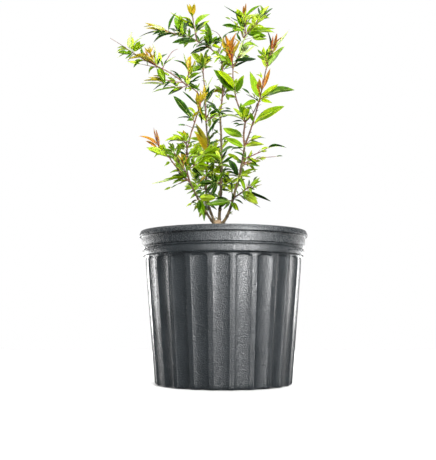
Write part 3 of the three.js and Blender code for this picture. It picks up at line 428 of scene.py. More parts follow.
def bearingVector(bearing, tilt):
    lean = math.cos(math.radians(tilt))
    return np.array([math.cos(math.radians(bearing)) * lean, math.sin(math.radians(tilt)),
                     math.sin(math.radians(bearing)) * lean])


def seededNumbers(seed):
    # A repeatable run of numbers between 0 and 1 from a whole-number seed.
    state = seed * seedRule["step"]
    while True:
        state = (state * seedRule["factor"]) % seedRule["modulus"]
        yield state / seedRule["modulus"]


def twigPoint(start, along, length, share):
    share = np.asarray(share, float)[..., None]
    return start + along * length * share + upwards * growth["rise"] * length * share * share


def growLeaves(twig, pairs, leaf, tip, kind, numbers, spray):
    # Opposite pairs along a twig, each pair turned by a quarter, and a tuft at its end.
    start, along, length = twig
    side = unit(np.cross(along, upwards))

    def jitter():
        return growth["jitter"] * (next(numbers) - 0.5)

    def addLeaf(share, turn, opening, sizes):
        size = leaf * (sizes[0] + sizes[1] * next(numbers))
        axis = turned(side, along, turn)
        heading = turned(along, axis, opening)
        roll = growth["roll"] * (next(numbers) - 0.5)
        leaves.append((twigPoint(start, along, length, share), heading, size, roll, kind, spray, 1))

    firstTurn = 180 * next(numbers)
    for k in range(pairs):
        share = (k + 0.6) / (pairs + 0.2)
        for half in (0, 180):
            turn = firstTurn + 90 * k + half + jitter()
            addLeaf(share, turn, mix(*growth["openings"], share) + jitter(), growth["pairSize"])
    for k in range(tip):
        turn = firstTurn + 360 * k / tip + jitter()
        addLeaf(1, turn, growth["tipOpening"] + jitter(), growth["tipSize"])


finer = {
    "spacing": 11.0,                # between side shoots along a twig
    "shift": 0.2,                   # either way, as a share of the spacing
    "turn": 137.5,                  # from one shoot to the next, round the twig
    "opening": (25, 55),
    "lift": 0.25,
    "length": (7, 15),
    "leaf": (13, 24),
    "pairFrom": 10,                 # a longer shoot has a pair of leaves
    "tip": (1, 3),                  # least number of leaves at its end, and one more than the most
    "thick": (1.1, 0.7),
    "room": 2.5,                    # a finer shoot may pass its mass's box by this much
    "inset": 0.5,                   # and stays inside the whole model's box by this much
}


def nodeSpace(name):
    low, high = (np.array(corner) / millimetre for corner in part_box(name))
    return (np.maximum(low - finer["room"], boxLow + finer["inset"]),
            np.minimum(high + finer["room"], boxHigh - finer["inset"]))


def addTwig(twig, thick):
    twigs.append((*twig, *[diameter / 2 for diameter in thick]))


def growFiner(twig, kind, spray, space, rng, share):
    # Carries the rule on: side shoots leave a twig in turn, each with one or two small leaves at its
    # end and some with a pair. What would leave the mass's space is skipped.
    start, along, length = twig
    low, high = space
    count = int(length / finer["spacing"] * share)
    turn = rng.uniform(0, 360)
    side = unit(np.cross(along, upwards + np.array([0.01, 0, 0])))
    for k in range(count):
        place = (k + 0.8 + rng.uniform(-finer["shift"], finer["shift"])) / (count + 0.4)
        turn += finer["turn"]
        heading = turned(along, turned(side, along, turn), rng.uniform(*finer["opening"]))
        heading = unit(heading + upwards * finer["lift"])
        size = rng.uniform(*finer["length"])
        foot = twigPoint(start, along, length, place)
        tip = twigPoint(foot, heading, size, 1)
        if np.any(tip < low) or np.any(tip > high):
            continue
        shoot = (foot, heading, size)
        addTwig(shoot, finer["thick"])
        growLeaves(shoot, int(size > finer["pairFrom"]), rng.uniform(*finer["leaf"]),
                   int(rng.integers(*finer["tip"])), kind, iter(rng.random, None), spray)


kindOfFiner = {bronze: green, orange: bronze, pale: lime, red: bronze}
spraysOfMass = 17


def growMass(mass, spray):
    numbers = seededNumbers(mass["seed"])
    rng = np.random.default_rng(mass["seed"])
    bearing, tilt, length = mass["stem"]
    stem = (limbPoint(mass["on"], mass["at"]), bearingVector(bearing, tilt), length)
    grown = [(stem, mass["kind"])]
    for k, (share, bearing, tilt, size, roll, kind) in enumerate(mass["blades"]):
        place = min(share + growth["stagger"] * ((k % 3) - 1) / length, 1)
        leaves.append((twigPoint(*stem, place), bearingVector(bearing, tilt), size, roll, kind,
                       spray + k + 1, 1))
    growLeaves(stem, mass["pairs"], mass["leaf"], mass["tip"], mass["kind"], numbers, spray)
    for share, bearing, tilt, size, pairs, leaf, tip, kind in mass["shoots"]:
        shoot = (twigPoint(*stem, share), bearingVector(bearing, tilt), size)
        grown.append((shoot, kind))
        growLeaves(shoot, pairs, leaf, tip, kind, numbers, spray + 1)
    space = nodeSpace(mass["name"])
    for twig, kind in grown:
        addTwig(twig, growth["twigThick"])
        growFiner(twig, kindOfFiner.get(kind, kind), spray + 2, space, rng, mass["fine"])


for number, mass in enumerate(masses):
    growMass(mass, spraysOfMass * number)
print("grown:", len(leaves), "leaves on", len(twigs), "twigs")


leafForm = {
    "stations": (0.04, 0.13, 0.26, 0.4, 0.55, 0.7, 0.84, 0.95),    # shares of the blade
    "foot": (0.5, 0.8), "end": (0.75, 1.15),        # powers of the outline at its foot and its tip
    "petiole": (0.13, 3.5),         # share of the length, and the most in millimetres
    "fold": (0.3, 0.95),            # how far the edges stand up, as a share of the half width
    "bulge": (0.05, 0.16),
    "arch": (-0.09, 0.14),          # how far the middle lifts, as a share of the length
    "hook": (0.0, 0.12),            # how far the tip turns down
    "hookFrom": 0.55,
    "twist": 35,
    "ripple": (0.0, 0.16),
    "beats": (1.2, 2.6),            # of the ripple, along the blade
    "droop": 0.08,
    "thick": 0.013,                 # at the rib, as a share of the length
    "thinning": 0.6,                # the share of that which is lost towards the tip
    "rib": (0.5, 0.14),             # radius at the twig and at the tip, on a leaf of the usual length
    "ribTaper": 0.6,
    "ribStations": (0.3, 0.62, 0.9),
    "usualLength": 28,
    "faceDown": -0.15,              # a face that looks further down than this is turned over
    "clear": 0.2,                   # a leaf keeps this far off every limb
    "boxSlack": 0.3,                # a leaf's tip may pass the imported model's box by this much
}


def leafFrames(roots, alongs, rolls):
    # Across is square to the view's front and the leaf, then rolled; the face looks to the front at
    # roll 0, and is turned over where it would look down, so that the glossy side is up.
    across = unit(np.cross(np.broadcast_to(front, alongs.shape), alongs))
    across = np.stack([turned(a, b, c) for a, b, c in zip(across, alongs, rolls)])
    normal = np.cross(alongs, across)
    down = normal[:, 2:3] < leafForm["faceDown"]
    return np.where(down, -across, across), np.where(down, -normal, normal)


def leafShapes(table, rng):
    # Blade: station s of the centre line is root + along L t - droop L t^2 + arch and hook along the
    # normal, with t = petiole + (1 - petiole) s and L the length. The half width is s^foot (1 - s)^end,
    # and six points go round: two edges, two middles that bulge, the rib's groove above and its keel
    # below.
    roots, alongs, lengths, rolls, widths = table
    count = len(roots)
    across, normal = leafFrames(roots, alongs, rolls)
    length = lengths[:, None]
    petiole = np.minimum(leafForm["petiole"][0], leafForm["petiole"][1] / length)
    arch, hook, fold, bulge, ripple, foot, end = (
        rng.uniform(*leafForm[name], (count, 1))
        for name in ("arch", "hook", "fold", "bulge", "ripple", "foot", "end"))
    twist = np.radians(rng.normal(0, leafForm["twist"] / 2, (count, 1)))
    phase = rng.uniform(0, 2 * np.pi, (count, 1))
    beats = rng.uniform(*leafForm["beats"], (count, 1))

    def centre(t):
        lift = arch * 4 * t * (1 - t) - hook * np.clip(t - leafForm["hookFrom"], 0, 1) ** 1.5
        return (roots[:, None] + alongs[:, None] * (length * t)[..., None]
                - upwards * (leafForm["droop"] * length * t * t)[..., None]
                + normal[:, None] * (length * lift)[..., None])

    s = np.array(leafForm["stations"])[None]
    t = petiole + (1 - petiole) * s
    peak = foot / (foot + end)
    outline = s ** foot * (1 - s) ** end / (peak ** foot * (1 - peak) ** end)
    half = outline * (length * widths[:, None] / 2)
    turn = twist * t
    u = across[:, None] * np.cos(turn)[..., None] + normal[:, None] * np.sin(turn)[..., None]
    v = normal[:, None] * np.cos(turn)[..., None] - across[:, None] * np.sin(turn)[..., None]
    middle = centre(t)
    wave = ripple * np.sin(2 * np.pi * beats * s + phase)
    thick = leafForm["thick"] * length * (1 - leafForm["thinning"] * s) + 0 * half

    def point(x, z):
        return middle + u * (x * half)[..., None] + v * z[..., None]

    ring = np.stack([
        point(1, (fold + wave) * half), point(0.5, (fold / 2 + bulge) * half), point(0, 0 * half),
        point(-0.5, (fold / 2 + bulge) * half), point(-1, (fold - wave) * half), point(0, -thick),
    ], 2)
    rings, sides = ring.shape[1:3]
    ends = centre(np.concatenate([petiole, np.ones((count, 1))], 1))
    points = np.concatenate([ring.reshape(count, -1, 3), ends], 1)
    blades = (points, gridQuads(rings, sides), capTriangles(rings, sides))
    beyond = [petiole + (1 - petiole) * share for share in leafForm["ribStations"]]
    ribShares = np.concatenate([np.zeros((count, 1)), petiole * 0.5, petiole, *beyond], 1)
    radii = mix(*leafForm["rib"], ribShares ** leafForm["ribTaper"])
    radii = radii * np.sqrt(length / leafForm["usualLength"])
    return blades, (centre(ribShares), radii)


limbSpacing = 2           # between the points of a limb that leaves keep clear of
limbShares = {name: np.linspace(0, 1, int(limbLength(name) / limbSpacing)) for name in limbs}
limbSamples = np.concatenate([limbPoint(name, shares) for name, shares in limbShares.items()])
limbSizes = np.concatenate([limbRadius(name, shares) for name, shares in limbShares.items()])


def clearOfLimbs(points):
    # Whether a leaf's rib, past its foot, keeps off every limb. The rib's groove is the third of the
    # six points of a ring, and the first two rings are the foot.
    line = points[:, :-2].reshape(len(points), -1, 6, 3)[:, 2:, 2]
    gaps = np.full(len(points), np.inf)
    for place, size in zip(limbSamples, limbSizes):
        gaps = np.minimum(gaps, np.linalg.norm(line - place, axis=2).min(1) - size)
    return gaps > leafForm["clear"]


# Screen colours of each kind of leaf.
tints = {
    green: ((112, 146, 4), (72, 110, 4), (150, 176, 10)),
    # the dark tints are partly the leaves' own deep green and partly painted shade, for the shade inside the
    # crown
    dark: ((20, 44, 2), (36, 66, 3)),
    lime: ((180, 202, 60), (158, 186, 44)),
    bright: ((132, 168, 28), (104, 146, 12)),
    bronze: ((162, 140, 24), (128, 118, 16)),
    orange: ((182, 114, 26), (150, 94, 20)),
    red: ((128, 66, 34),),
    pale: ((182, 200, 134),),
}
warmKinds = (bronze, orange, red)

# The sprigs that show singly from the front. Each has its limb, the points of its twig as (x, y) in
# the front view's frame of 436 by 460, how far the twig's tip stands behind its foot, and its leaves:
# foot and tip as x, y in the same frame, kind, roll, and for some a factor on the width. A leaf's foot
# is drawn on to the twig or the limb, and the twig's own foot on to the limb.
sprigs = (
    ("bough_left_reach", ((159, 67), (150, 62), (140, 57), (130, 51), (120, 44), (110, 38)), -6, (
        (129, 49, 132, 31, pale, 20, 2.2), (131, 49, 142, 37, lime, 55), (134, 53, 140, 41, green, 5, 1.4),
        (128, 49, 117, 48, green, 65), (130, 52, 119, 56, green, 70), (132, 54, 125, 59, green, 60),
        (156, 64, 136, 54, bronze, 20, 1.3), (152, 62, 143, 52, bronze, 10), (154, 63, 149, 51, bronze, 30),
        (156, 62, 153, 43, pale, 70), (146, 57, 141, 47, green, 20), (157, 64, 154, 50, bronze, 55),
        (158, 64, 159, 52, lime, 50), (157, 66, 155, 56, lime, 0), (148, 61, 139, 56, lime, 30),
        (159, 64, 161, 57, dark, 40), (150, 62, 145, 50, orange, 40))),
    ("bough_left_reach", ((160, 68), (150, 66), (141, 64)), 8, (
        (142, 64, 127, 61, lime, 25), (158, 68, 165, 84, green, 5, 1.4), (156, 67, 160, 80, green, 50))),
    ("bough_left_reach", ((163, 68), (166, 61), (171, 53), (174, 50), (178, 49)), 10, (
        (164, 66, 167, 59, dark, 10), (165, 65, 171, 60, green, 60), (162, 67, 160, 59, green, 20),
        (166, 63, 176, 56, pale, 80))),
    ("bough_left_reach", ((186, 87), (180, 88), (166, 85)), -8, (
        (167, 85, 141, 83, pale, 60), (167, 85, 148, 77, bronze, 65), (179, 87, 169, 80, dark, 10),
        (177, 88, 152, 92, green, 72), (186, 88, 168, 95, dark, 30), (183, 88, 172, 90, green, 30),
        (174, 88, 180, 82, green, 40))),
    ("bough_left_reach", ((184, 84), (179, 78)), 3, (
        (183, 82, 173, 73, dark, 60), (180, 79, 170, 70, dark, 70))),
    ("bough_left_upper", ((187, 87), (188, 78), (189, 70)), -5, (
        (189, 73, 191, 55, bronze, 20, 1.2), (188, 72, 188, 57, lime, 30),
        (187, 86, 184, 76, green, 40, 0.8), (187, 87, 187, 75, lime, 10), (188, 86, 191, 78, lime, 30),
        (187, 87, 185, 92, dark, 20), (189, 71, 184, 53, pale, 75), (188, 72, 174, 60, dark, 80),
        (190, 74, 195, 60, bronze, 40), (188, 84, 200, 92, green, 50))),
    ("bough_inner_top", ((203, 72), (204, 67), (205, 62)), 4, (
        (203, 69, 190, 73, dark, 65), (203, 75, 190, 83, dark, 80), (203, 66, 191, 52, lime, 10),
        (204, 68, 202, 56, dark, 20), (204, 67, 206, 53, lime, 0), (205, 67, 211, 56, lime, 5, 1.3),
        (204, 69, 198, 61, green, 30), (204, 69, 196, 67, green, 60), (205, 70, 213, 67, green, 65),
        (205, 66, 209, 61, bronze, 30))),
    ("bough_top_left", ((197, 41), (190, 37), (180, 34), (168, 32)), 3, (
        (168, 32, 139, 37, dark, 80, 0.5), (166, 31, 145, 23, bronze, 15, 0.7),
        (164, 31, 145, 28, bronze, 10, 0.9), (168, 31, 143, 27, bronze, 60, 0.6),
        (168, 31, 176, 12, dark, 55, 0.8), (181, 34, 178, 15, bright, 0, 1.25),
        (185, 35, 183, 20, green, 10), (186, 35, 170, 37, dark, 40), (186, 36, 176, 33, lime, 30),
        (190, 37, 187, 30, dark, 30), (183, 35, 190, 30, green, 40), (176, 33, 168, 27, dark, 70),
        (192, 38, 183, 45, dark, 40))),
    ("bough_top_left", ((197, 41), (195, 31), (192, 16)), -4, (
        (192, 17, 187, 4, bronze, 0), (192, 17, 195, 4, bronze, 10), (192, 18, 191, 7, bronze, 50),
        (194, 27, 210, 14, bright, 15), (195, 32, 206, 21, dark, 55), (192, 24, 187, 20, dark, 0),
        (194, 31, 186, 19, dark, 10, 1.3), (193, 24, 179, 17, lime, 60), (193, 27, 170, 12, green, 70, 0.4),
        (195, 33, 199, 24, green, 40), (194, 30, 191, 22, dark, 30))),
    ("bough_top_left", ((199, 42), (196, 46)), -6, (
        (197, 41, 172, 43, dark, 15), (197, 43, 193, 49, dark, 50), (198, 42, 196, 34, dark, 30),
        (198, 42, 203, 36, green, 20))),
    ("bough_top_left", ((209, 48), (207, 38), (208, 31)), -5, (
        (210, 48, 206, 22, green, 0, 0.8), (209, 46, 204, 35, dark, 20), (208, 34, 199, 34, bright, 20),
        (208, 38, 198, 40, green, 50), (208, 32, 199, 30, green, 40), (209, 46, 212, 37, dark, 30),
        (207, 40, 199, 44, dark, 60), (208, 48, 190, 54, dark, 20, 0.8), (209, 49, 194, 50, dark, 55),
        (209, 44, 214, 33, green, 70), (210, 49, 204, 56, dark, 40))),
    ("bough_top_left", ((218, 55), (221, 47), (223, 40), (217, 32), (211, 30)), 6, (
        (223, 42, 212, 38, green, 20), (222, 44, 214, 43, dark, 30), (223, 40, 228, 33, dark, 30),
        (221, 48, 213, 47, dark, 70), (222, 46, 218, 53, dark, 50), (223, 43, 219, 36, green, 40),
        (220, 50, 211, 55, green, 60), (221, 47, 225, 41, red, 40))),
    ("bough_right_inner", ((233, 67), (231, 58), (230, 50)), -6, (
        (229, 56, 226, 33, orange, 30, 0.8), (231, 58, 236, 32, orange, 40, 1.2),
        (230, 52, 231, 36, bronze, 50), (229, 54, 224, 36, bronze, 40), (232, 58, 240, 40, bronze, 55),
        (230, 56, 228, 38, orange, 0), (232, 65, 217, 53, bright, 10), (231, 66, 222, 56, green, 0),
        (231, 65, 224, 70, bright, 30), (231, 63, 219, 60, green, 30), (231, 64, 222, 65, bright, 5),
        (232, 62, 236, 50, bronze, 30), (233, 71, 239, 74, bronze, 60), (232, 60, 225, 50, green, 30))),
    ("bough_top_right", ((238, 55), (240, 46), (243, 40), (251, 38)), -4, (
        (251, 38, 267, 39, green, 10), (252, 38, 262, 34, green, 50), (240, 49, 259, 47, green, 40),
        (241, 42, 236, 33, dark, 30), (240, 44, 233, 38, bronze, 50), (242, 40, 248, 36, dark, 60))),
    ("bough_top_right", ((234, 66), (238, 60), (244, 50)), -8, (
        (236, 66, 252, 39, pale, 8), (239, 60, 256, 44, pale, 72), (238, 60, 234, 55, dark, 50))),
    ("bough_top_right", ((243, 38), (241, 31), (236, 24), (230, 19)), 5, (
        (231, 20, 225, 17, green, 10), (238, 29, 222, 25, dark, 5), (240, 30, 227, 33, dark, 30),
        (238, 28, 234, 21, green, 20), (240, 31, 234, 31, green, 30), (237, 26, 241, 20, dark, 50),
        (238, 28, 226, 27, green, 50))),
    ("bough_top_right", ((245, 33), (246, 26), (244, 18)), -5, (
        (246, 27, 237, 9, green, 5, 1.3), (243, 20, 236, 8, lime, 30), (244, 18, 246, 3, red, 10),
        (245, 17, 260, 5, bright, 40, 0.8), (244, 18, 224, 5, dark, 76, 0.5), (246, 25, 240, 16, green, 40),
        (246, 23, 256, 12, pale, 70), (246, 24, 238, 19, dark, 40), (245, 30, 239, 26, lime, 30),
        (246, 28, 251, 17, green, 60), (246, 22, 253, 16, lime, 60), (244, 19, 249, 10, pale, 75))),
    ("bough_top_right", ((245, 33), (250, 27), (257, 22), (265, 18)), -3, (
        (245, 33, 258, 22, green, 0, 1.4), (258, 22, 268, 7, bright, 10, 1.4), (262, 19, 273, 8, dark, 60),
        (261, 19, 260, 5, green, 66), (258, 21, 255, 14, lime, 20), (259, 20, 262, 12, lime, 20),
        (263, 19, 271, 13, dark, 60), (254, 24, 265, 18, green, 30), (252, 25, 256, 15, lime, 40),
        (260, 20, 257, 13, bright, 30), (247, 32, 276, 28, bright, 70, 0.6), (249, 28, 260, 28, green, 50),
        (248, 29, 256, 26, dark, 30))),
    ("bough_right_inner", ((232, 67), (226, 61), (219, 55)), -3, (
        (226, 60, 221, 71, bright, 10, 1.2), (224, 58, 213, 57, lime, 30), (222, 56, 213, 50, green, 20),
        (228, 62, 222, 70, green, 30), (220, 55, 226, 47, green, 40), (225, 59, 229, 49, bronze, 20),
        (221, 56, 214, 63, bright, 30))),
    ("bough_right_inner", ((236, 93), (235, 88)), -6, (
        (236, 93, 213, 69, green, 12), (236, 94, 243, 78, green, 0, 1.35), (235, 91, 226, 76, dark, 60),
        (236, 92, 230, 82, dark, 60))),
    ("bough_centre_top", ((223, 79), (224, 75)), -6, (
        (223, 80, 216, 80, dark, 30), (223, 76, 233, 74, bronze, 72), (223, 75, 219, 68, green, 50))),
    ("bough_right_outer", ((262, 92), (263, 88)), -9, (
        (263, 92, 259, 78, orange, 10), (264, 92, 270, 68, orange, 20, 0.85), (264, 88, 266, 76, red, 60))),
    ("bough_right_outer", ((258, 101), (254, 98), (249, 94)), 4, (
        (250, 95, 242, 88, dark, 60), (257, 101, 241, 107, green, 10), (255, 99, 252, 93, green, 40),
        (258, 102, 256, 96, dark, 40))),
    ("bough_right_outer", ((261, 100), (264, 97)), -8, (
        (262, 98, 272, 92, green, 30), (261, 100, 270, 97, lime, 50), (260, 99, 264, 92, bright, 30))),
    ("bough_right_outer", ((266, 70), (269, 60), (272, 54), (275, 47)), -2, (
        (267, 69, 270, 47, bright, 0, 1.2), (274, 50, 277, 33, red, 5), (275, 48, 289, 29, pale, 45),
        (274, 51, 276, 38, orange, 50), (272, 54, 278, 42, bronze, 50))),
    ("bough_right_outer", ((252, 127), (254, 124)), -6, (
        (254, 126, 270, 113, green, 60), (254, 125, 264, 114, green, 50), (253, 127, 246, 123, lime, 50))),
    ("stem_right_upper", ((246, 143), (250, 140), (257, 138)), -6, (
        (248, 141, 262, 136, green, 30), (249, 141, 258, 142, dark, 30), (256, 138, 266, 138, dark, 70),
        (247, 143, 250, 144, orange, 50), (251, 140, 257, 135, green, 50))),
    ("bough_right_dark", ((245, 121), (244, 116)), -8, (
        (246, 120, 242, 104, green, 0, 1.4), (247, 119, 250, 106, green, 30),
        (244, 119, 236, 109, bronze, 20, 0.7), (243, 118, 234, 115, dark, 40),
        (246, 121, 252, 113, lime, 30), (244, 121, 238, 118, lime, 40), (246, 120, 254, 118, dark, 60))),
    ("bough_right_dark", ((245, 124), (239, 124)), -4, (
        (240, 124, 233, 124, dark, 20), (244, 125, 235, 127, dark, 76))),
    ("bough_right_dark", ((244, 138), (241, 137)), -4, (
        (244, 138, 223, 128, bright, 8, 1.2), (243, 138, 230, 129, green, 60))),
    ("stem_right_upper", ((243, 152), (239, 148), (236, 147)), -3, (
        (236, 147, 220, 155, dark, 25), (244, 146, 235, 144, dark, 76), (237, 147, 231, 151, dark, 50))),
    ("stem_right_upper", ((242, 164), (250, 161), (258, 158), (270, 157), (282, 156)), -8, (
        (250, 161, 257, 160, lime, 40), (258, 158, 263, 161, green, 70), (276, 157, 283, 156, dark, 40),
        (246, 162, 250, 167, bronze, 60), (243, 163, 249, 159, bronze, 60),
        (255, 159, 262, 157, green, 50))),
    ("stem_right_upper", ((239, 177), (243, 175), (250, 173), (255, 171)), -6, (
        (243, 175, 252, 172, bright, 10), (241, 176, 251, 177, green, 50), (252, 172, 256, 171, dark, 30))),
    ("stem_right_upper", ((239, 177), (238, 173)), -8, (
        (239, 176, 228, 159, dark, 10, 1.1), (240, 177, 245, 191, green, 30),
        (239, 177, 237, 184, lime, 20), (239, 177, 228, 173, dark, 40), (238, 177, 230, 184, dark, 66),
        (240, 176, 243, 183, lime, 20), (239, 178, 243, 170, lime, 30), (238, 177, 222, 171, dark, 74))),
    ("stem_right", ((235, 191), (231, 190)), -4, (
        (237, 190, 221, 190, dark, 25), (235, 190, 227, 187, green, 20), (236, 189, 231, 181, dark, 40),
        (235, 191, 228, 193, dark, 30))),
    ("stem_right", ((234, 199), (232, 201)), -8, (
        (234, 202, 239, 211, green, 5, 1.7), (235, 201, 223, 204, dark, 40), (234, 200, 243, 204, dark, 50),
        (233, 201, 230, 206, dark, 40))),
    ("bough_right_low", ((243, 192), (246, 191), (248, 191)), -6, (
        (248, 192, 247, 183, bronze, 72), (248, 191, 252, 186, bronze, 72),
        (249, 191, 262, 184, bronze, 74), (242, 194, 258, 204, lime, 0, 1.7),
        (243, 195, 247, 188, bronze, 30), (244, 193, 241, 188, green, 30), (243, 194, 250, 197, lime, 40),
        (240, 197, 261, 207, dark, 60, 0.5), (240, 196, 246, 201, dark, 40), (239, 196, 236, 190, dark, 30),
        (242, 193, 246, 195, dark, 20))),
    ("bough_left_mid", ((199, 112), (200, 104), (199, 97)), -7, (
        (200, 108, 197, 91, bronze, 10), (201, 106, 204, 88, bronze, 40), (199, 112, 195, 98, bronze, 50),
        (197, 106, 183, 91, dark, 76, 0.6), (198, 118, 184, 108, green, 60),
        (199, 114, 206, 121, green, 10), (199, 110, 202, 124, dark, 60), (200, 104, 206, 96, green, 60))),
    ("stem_left_inner", ((205, 106), (205, 96), (206, 88)), -6, (
        (205, 100, 204, 84, bronze, 40), (206, 99, 209, 86, dark, 40), (206, 104, 215, 88, dark, 30),
        (208, 101, 220, 84, pale, 70), (205, 102, 200, 90, orange, 55), (206, 92, 213, 76, pale, 72),
        (205, 90, 202, 78, pale, 70), (206, 98, 204, 112, dark, 60))),
    ("stem_left_inner", ((206, 122), (211, 118), (219, 113)), 0, (
        (218, 113, 207, 122, dark, 50), (206, 121, 198, 111, green, 5), (206, 118, 201, 106, green, 50),
        (207, 122, 209, 112, pale, 70))),
    ("stem_centre", ((220, 112), (215, 108)), -6, (
        (219, 113, 226, 114, dark, 5), (221, 110, 234, 112, dark, 74), (219, 109, 204, 100, dark, 60),
        (218, 109, 210, 107, green, 40), (220, 111, 224, 109, lime, 40), (220, 114, 226, 117, dark, 30),
        (220, 119, 210, 132, dark, 40), (220, 118, 214, 127, dark, 66), (221, 108, 227, 102, green, 70))),
    ("stem_left_inner", ((207, 143), (210, 137), (213, 133)), -4, (
        (210, 136, 218, 132, dark, 50), (208, 141, 214, 134, dark, 50), (208, 138, 214, 124, dark, 70))),
    ("stem_centre", ((221, 139), (216, 142)), -6, (
        (221, 140, 210, 146, dark, 30), (221, 141, 231, 136, dark, 55), (221, 150, 231, 139, lime, 50),
        (221, 146, 214, 151, dark, 40), (220, 142, 215, 139, lime, 50), (221, 152, 216, 160, green, 30))),
    ("bough_left_mid", ((192, 128), (186, 125)), -5, (
        (187, 125, 178, 125, dark, 20), (192, 128, 200, 129, dark, 60), (192, 129, 196, 124, dark, 60))),
    ("bough_left_mid", ((188, 142), (185, 140)), -5, (
        (187, 142, 176, 131, green, 20), (187, 142, 183, 130, bronze, 10), (188, 142, 168, 142, dark, 40),
        (187, 141, 172, 138, lime, 40), (188, 143, 197, 141, dark, 60), (187, 141, 188, 132, green, 40),
        (188, 142, 179, 146, bronze, 40))),
    ("bough_left_low", ((170, 158), (164, 154), (158, 150)), -8, (
        (158, 150, 146, 141, red, 30, 1.6), (160, 151, 156, 129, red, 72), (168, 158, 148, 149, lime, 10),
        (166, 157, 154, 150, bright, 40), (158, 150, 150, 143, orange, 10),
        (164, 154, 160, 146, green, 60))),
    ("bough_left_mid", ((188, 176), (184, 168), (181, 160)), -8, (
        (184, 170, 177, 154, bronze, 5), (183, 166, 180, 150, bronze, 30, 1.5),
        (186, 170, 185, 155, green, 30), (183, 171, 171, 156, lime, 15), (181, 161, 170, 152, pale, 66),
        (182, 163, 186, 153, orange, 55), (185, 168, 174, 163, lime, 10), (182, 164, 176, 153, orange, 20),
        (184, 168, 188, 160, green, 40))),
    ("bough_left_low", ((184, 174), (182, 171)), -8, (
        (188, 179, 176, 168, green, 15), (189, 180, 178, 172, dark, 10), (187, 177, 172, 176, green, 40),
        (184, 172, 176, 162, lime, 30))),
    ("bough_left_low", ((188, 181), (182, 179), (175, 178)), -4, (
        (176, 178, 151, 183, pale, 70), (185, 180, 173, 181, green, 20), (188, 181, 180, 184, green, 40),
        (183, 179, 172, 176, green, 30), (189, 181, 185, 189, pale, 60))),
    ("bough_left_low", ((187, 181), (180, 183), (172, 187)), 6, (
        (172, 187, 164, 190, green, 10), (178, 184, 171, 188, dark, 60))),
    ("bough_left_mid", ((187, 160), (189, 152)), -8, (
        (188, 158, 190, 170, bronze, 30), (188, 156, 177, 150, dark, 72), (188, 155, 196, 148, green, 20),
        (188, 158, 199, 156, bright, 20), (188, 162, 198, 166, dark, 30), (187, 166, 194, 176, lime, 40))),
    ("stem_left_inner", ((207, 146), (204, 143), (201, 138)), -7, (
        (207, 147, 196, 123, bronze, 25), (206, 146, 199, 128, bronze, 40),
        (208, 149, 203, 137, orange, 30), (202, 141, 194, 131, lime, 10), (203, 143, 190, 138, bright, 30),
        (204, 146, 192, 146, bright, 10, 1.5), (206, 148, 209, 133, green, 60),
        (205, 146, 197, 138, green, 10), (206, 149, 215, 143, lime, 30))),
    ("stem_left_inner", ((207, 158), (203, 155), (198, 153)), -12, (
        (204, 155, 190, 149, bright, 5, 1.5), (203, 156, 191, 160, bright, 20, 1.5),
        (205, 157, 199, 146, bright, 10), (206, 158, 214, 148, bright, 10, 1.5),
        (200, 154, 193, 143, green, 20), (206, 160, 196, 166, dark, 20), (205, 157, 206, 145, lime, 30),
        (207, 160, 217, 154, green, 20), (202, 156, 208, 164, dark, 20), (199, 154, 188, 155, lime, 40),
        (207, 158, 199, 162, bright, 40), (207, 156, 203, 141, green, 40))),
    ("stem_left_inner", ((207, 172), (202, 171), (197, 170)), -12, (
        (212, 165, 192, 174, bright, 15, 1.5), (204, 171, 195, 163, green, 20),
        (203, 172, 194, 181, dark, 20), (206, 172, 214, 162, green, 10, 1.5),
        (205, 172, 208, 180, dark, 20), (200, 171, 190, 168, bright, 30), (207, 173, 216, 170, dark, 40),
        (199, 170, 192, 179, lime, 40), (206, 171, 203, 160, dark, 30), (207, 174, 200, 182, bronze, 50),
        (203, 171, 213, 176, dark, 40))),
    ("stem_left_inner", ((206, 186), (203, 186)), -8, (
        (206, 188, 196, 179, dark, 15), (206, 187, 214, 181, dark, 30), (206, 190, 199, 197, dark, 20),
        (205, 187, 196, 188, dark, 20), (206, 192, 216, 197, dark, 20), (206, 186, 202, 177, dark, 40),
        (206, 189, 212, 188, dark, 40))),
    ("stem_centre", ((221, 164), (217, 162), (214, 160)), -10, (
        (219, 163, 211, 149, green, 15, 1.5), (221, 168, 214, 156, bright, 30, 1.5),
        (221, 170, 225, 155, green, 20), (220, 165, 209, 160, green, 20), (221, 166, 226, 180, dark, 20),
        (218, 163, 207, 154, bright, 40), (221, 162, 218, 147, green, 30), (216, 161, 208, 168, dark, 30),
        (221, 160, 228, 148, dark, 50), (221, 158, 212, 145, lime, 30))),
    ("stem_centre", ((221, 175), (217, 176)), -10, (
        (226, 176, 211, 176, lime, 10), (221, 177, 228, 184, dark, 10), (221, 178, 215, 184, dark, 20),
        (222, 173, 233, 170, dark, 70), (221, 176, 206, 179, dark, 40), (221, 172, 214, 165, green, 30),
        (222, 175, 231, 180, dark, 30), (221, 174, 227, 166, dark, 40))),
    ("stem_centre", ((221, 183), (216, 183)), -8, (
        (221, 199, 208, 192, dark, 30), (221, 183, 206, 183, dark, 20), (221, 183, 232, 184, dark, 30),
        (221, 184, 213, 188, dark, 50), (221, 182, 226, 177, green, 20), (218, 183, 210, 178, dark, 40))),
    ("stem_left_outer", ((195, 191), (192, 187)), -6, (
        (200, 195, 190, 182, dark, 10), (195, 191, 203, 183, green, 20), (194, 190, 187, 183, dark, 50),
        (196, 193, 203, 190, dark, 20), (198, 196, 192, 194, dark, 30), (196, 192, 206, 196, dark, 30))),
    ("stem_left_inner", ((207, 198), (204, 198)), -8, (
        (204, 198, 196, 209, lime, 10), (208, 200, 208, 212, dark, 20), (206, 198, 199, 213, dark, 50),
        (205, 199, 210, 195, lime, 30), (206, 199, 206, 213, lime, 40), (208, 203, 217, 210, dark, 10),
        (207, 199, 213, 193, dark, 30))),
    ("stem_left_outer", ((198, 199), (192, 203)), -4, (
        (199, 197, 216, 198, lime, 0, 1.7), (201, 198, 204, 216, bright, 0, 1.7),
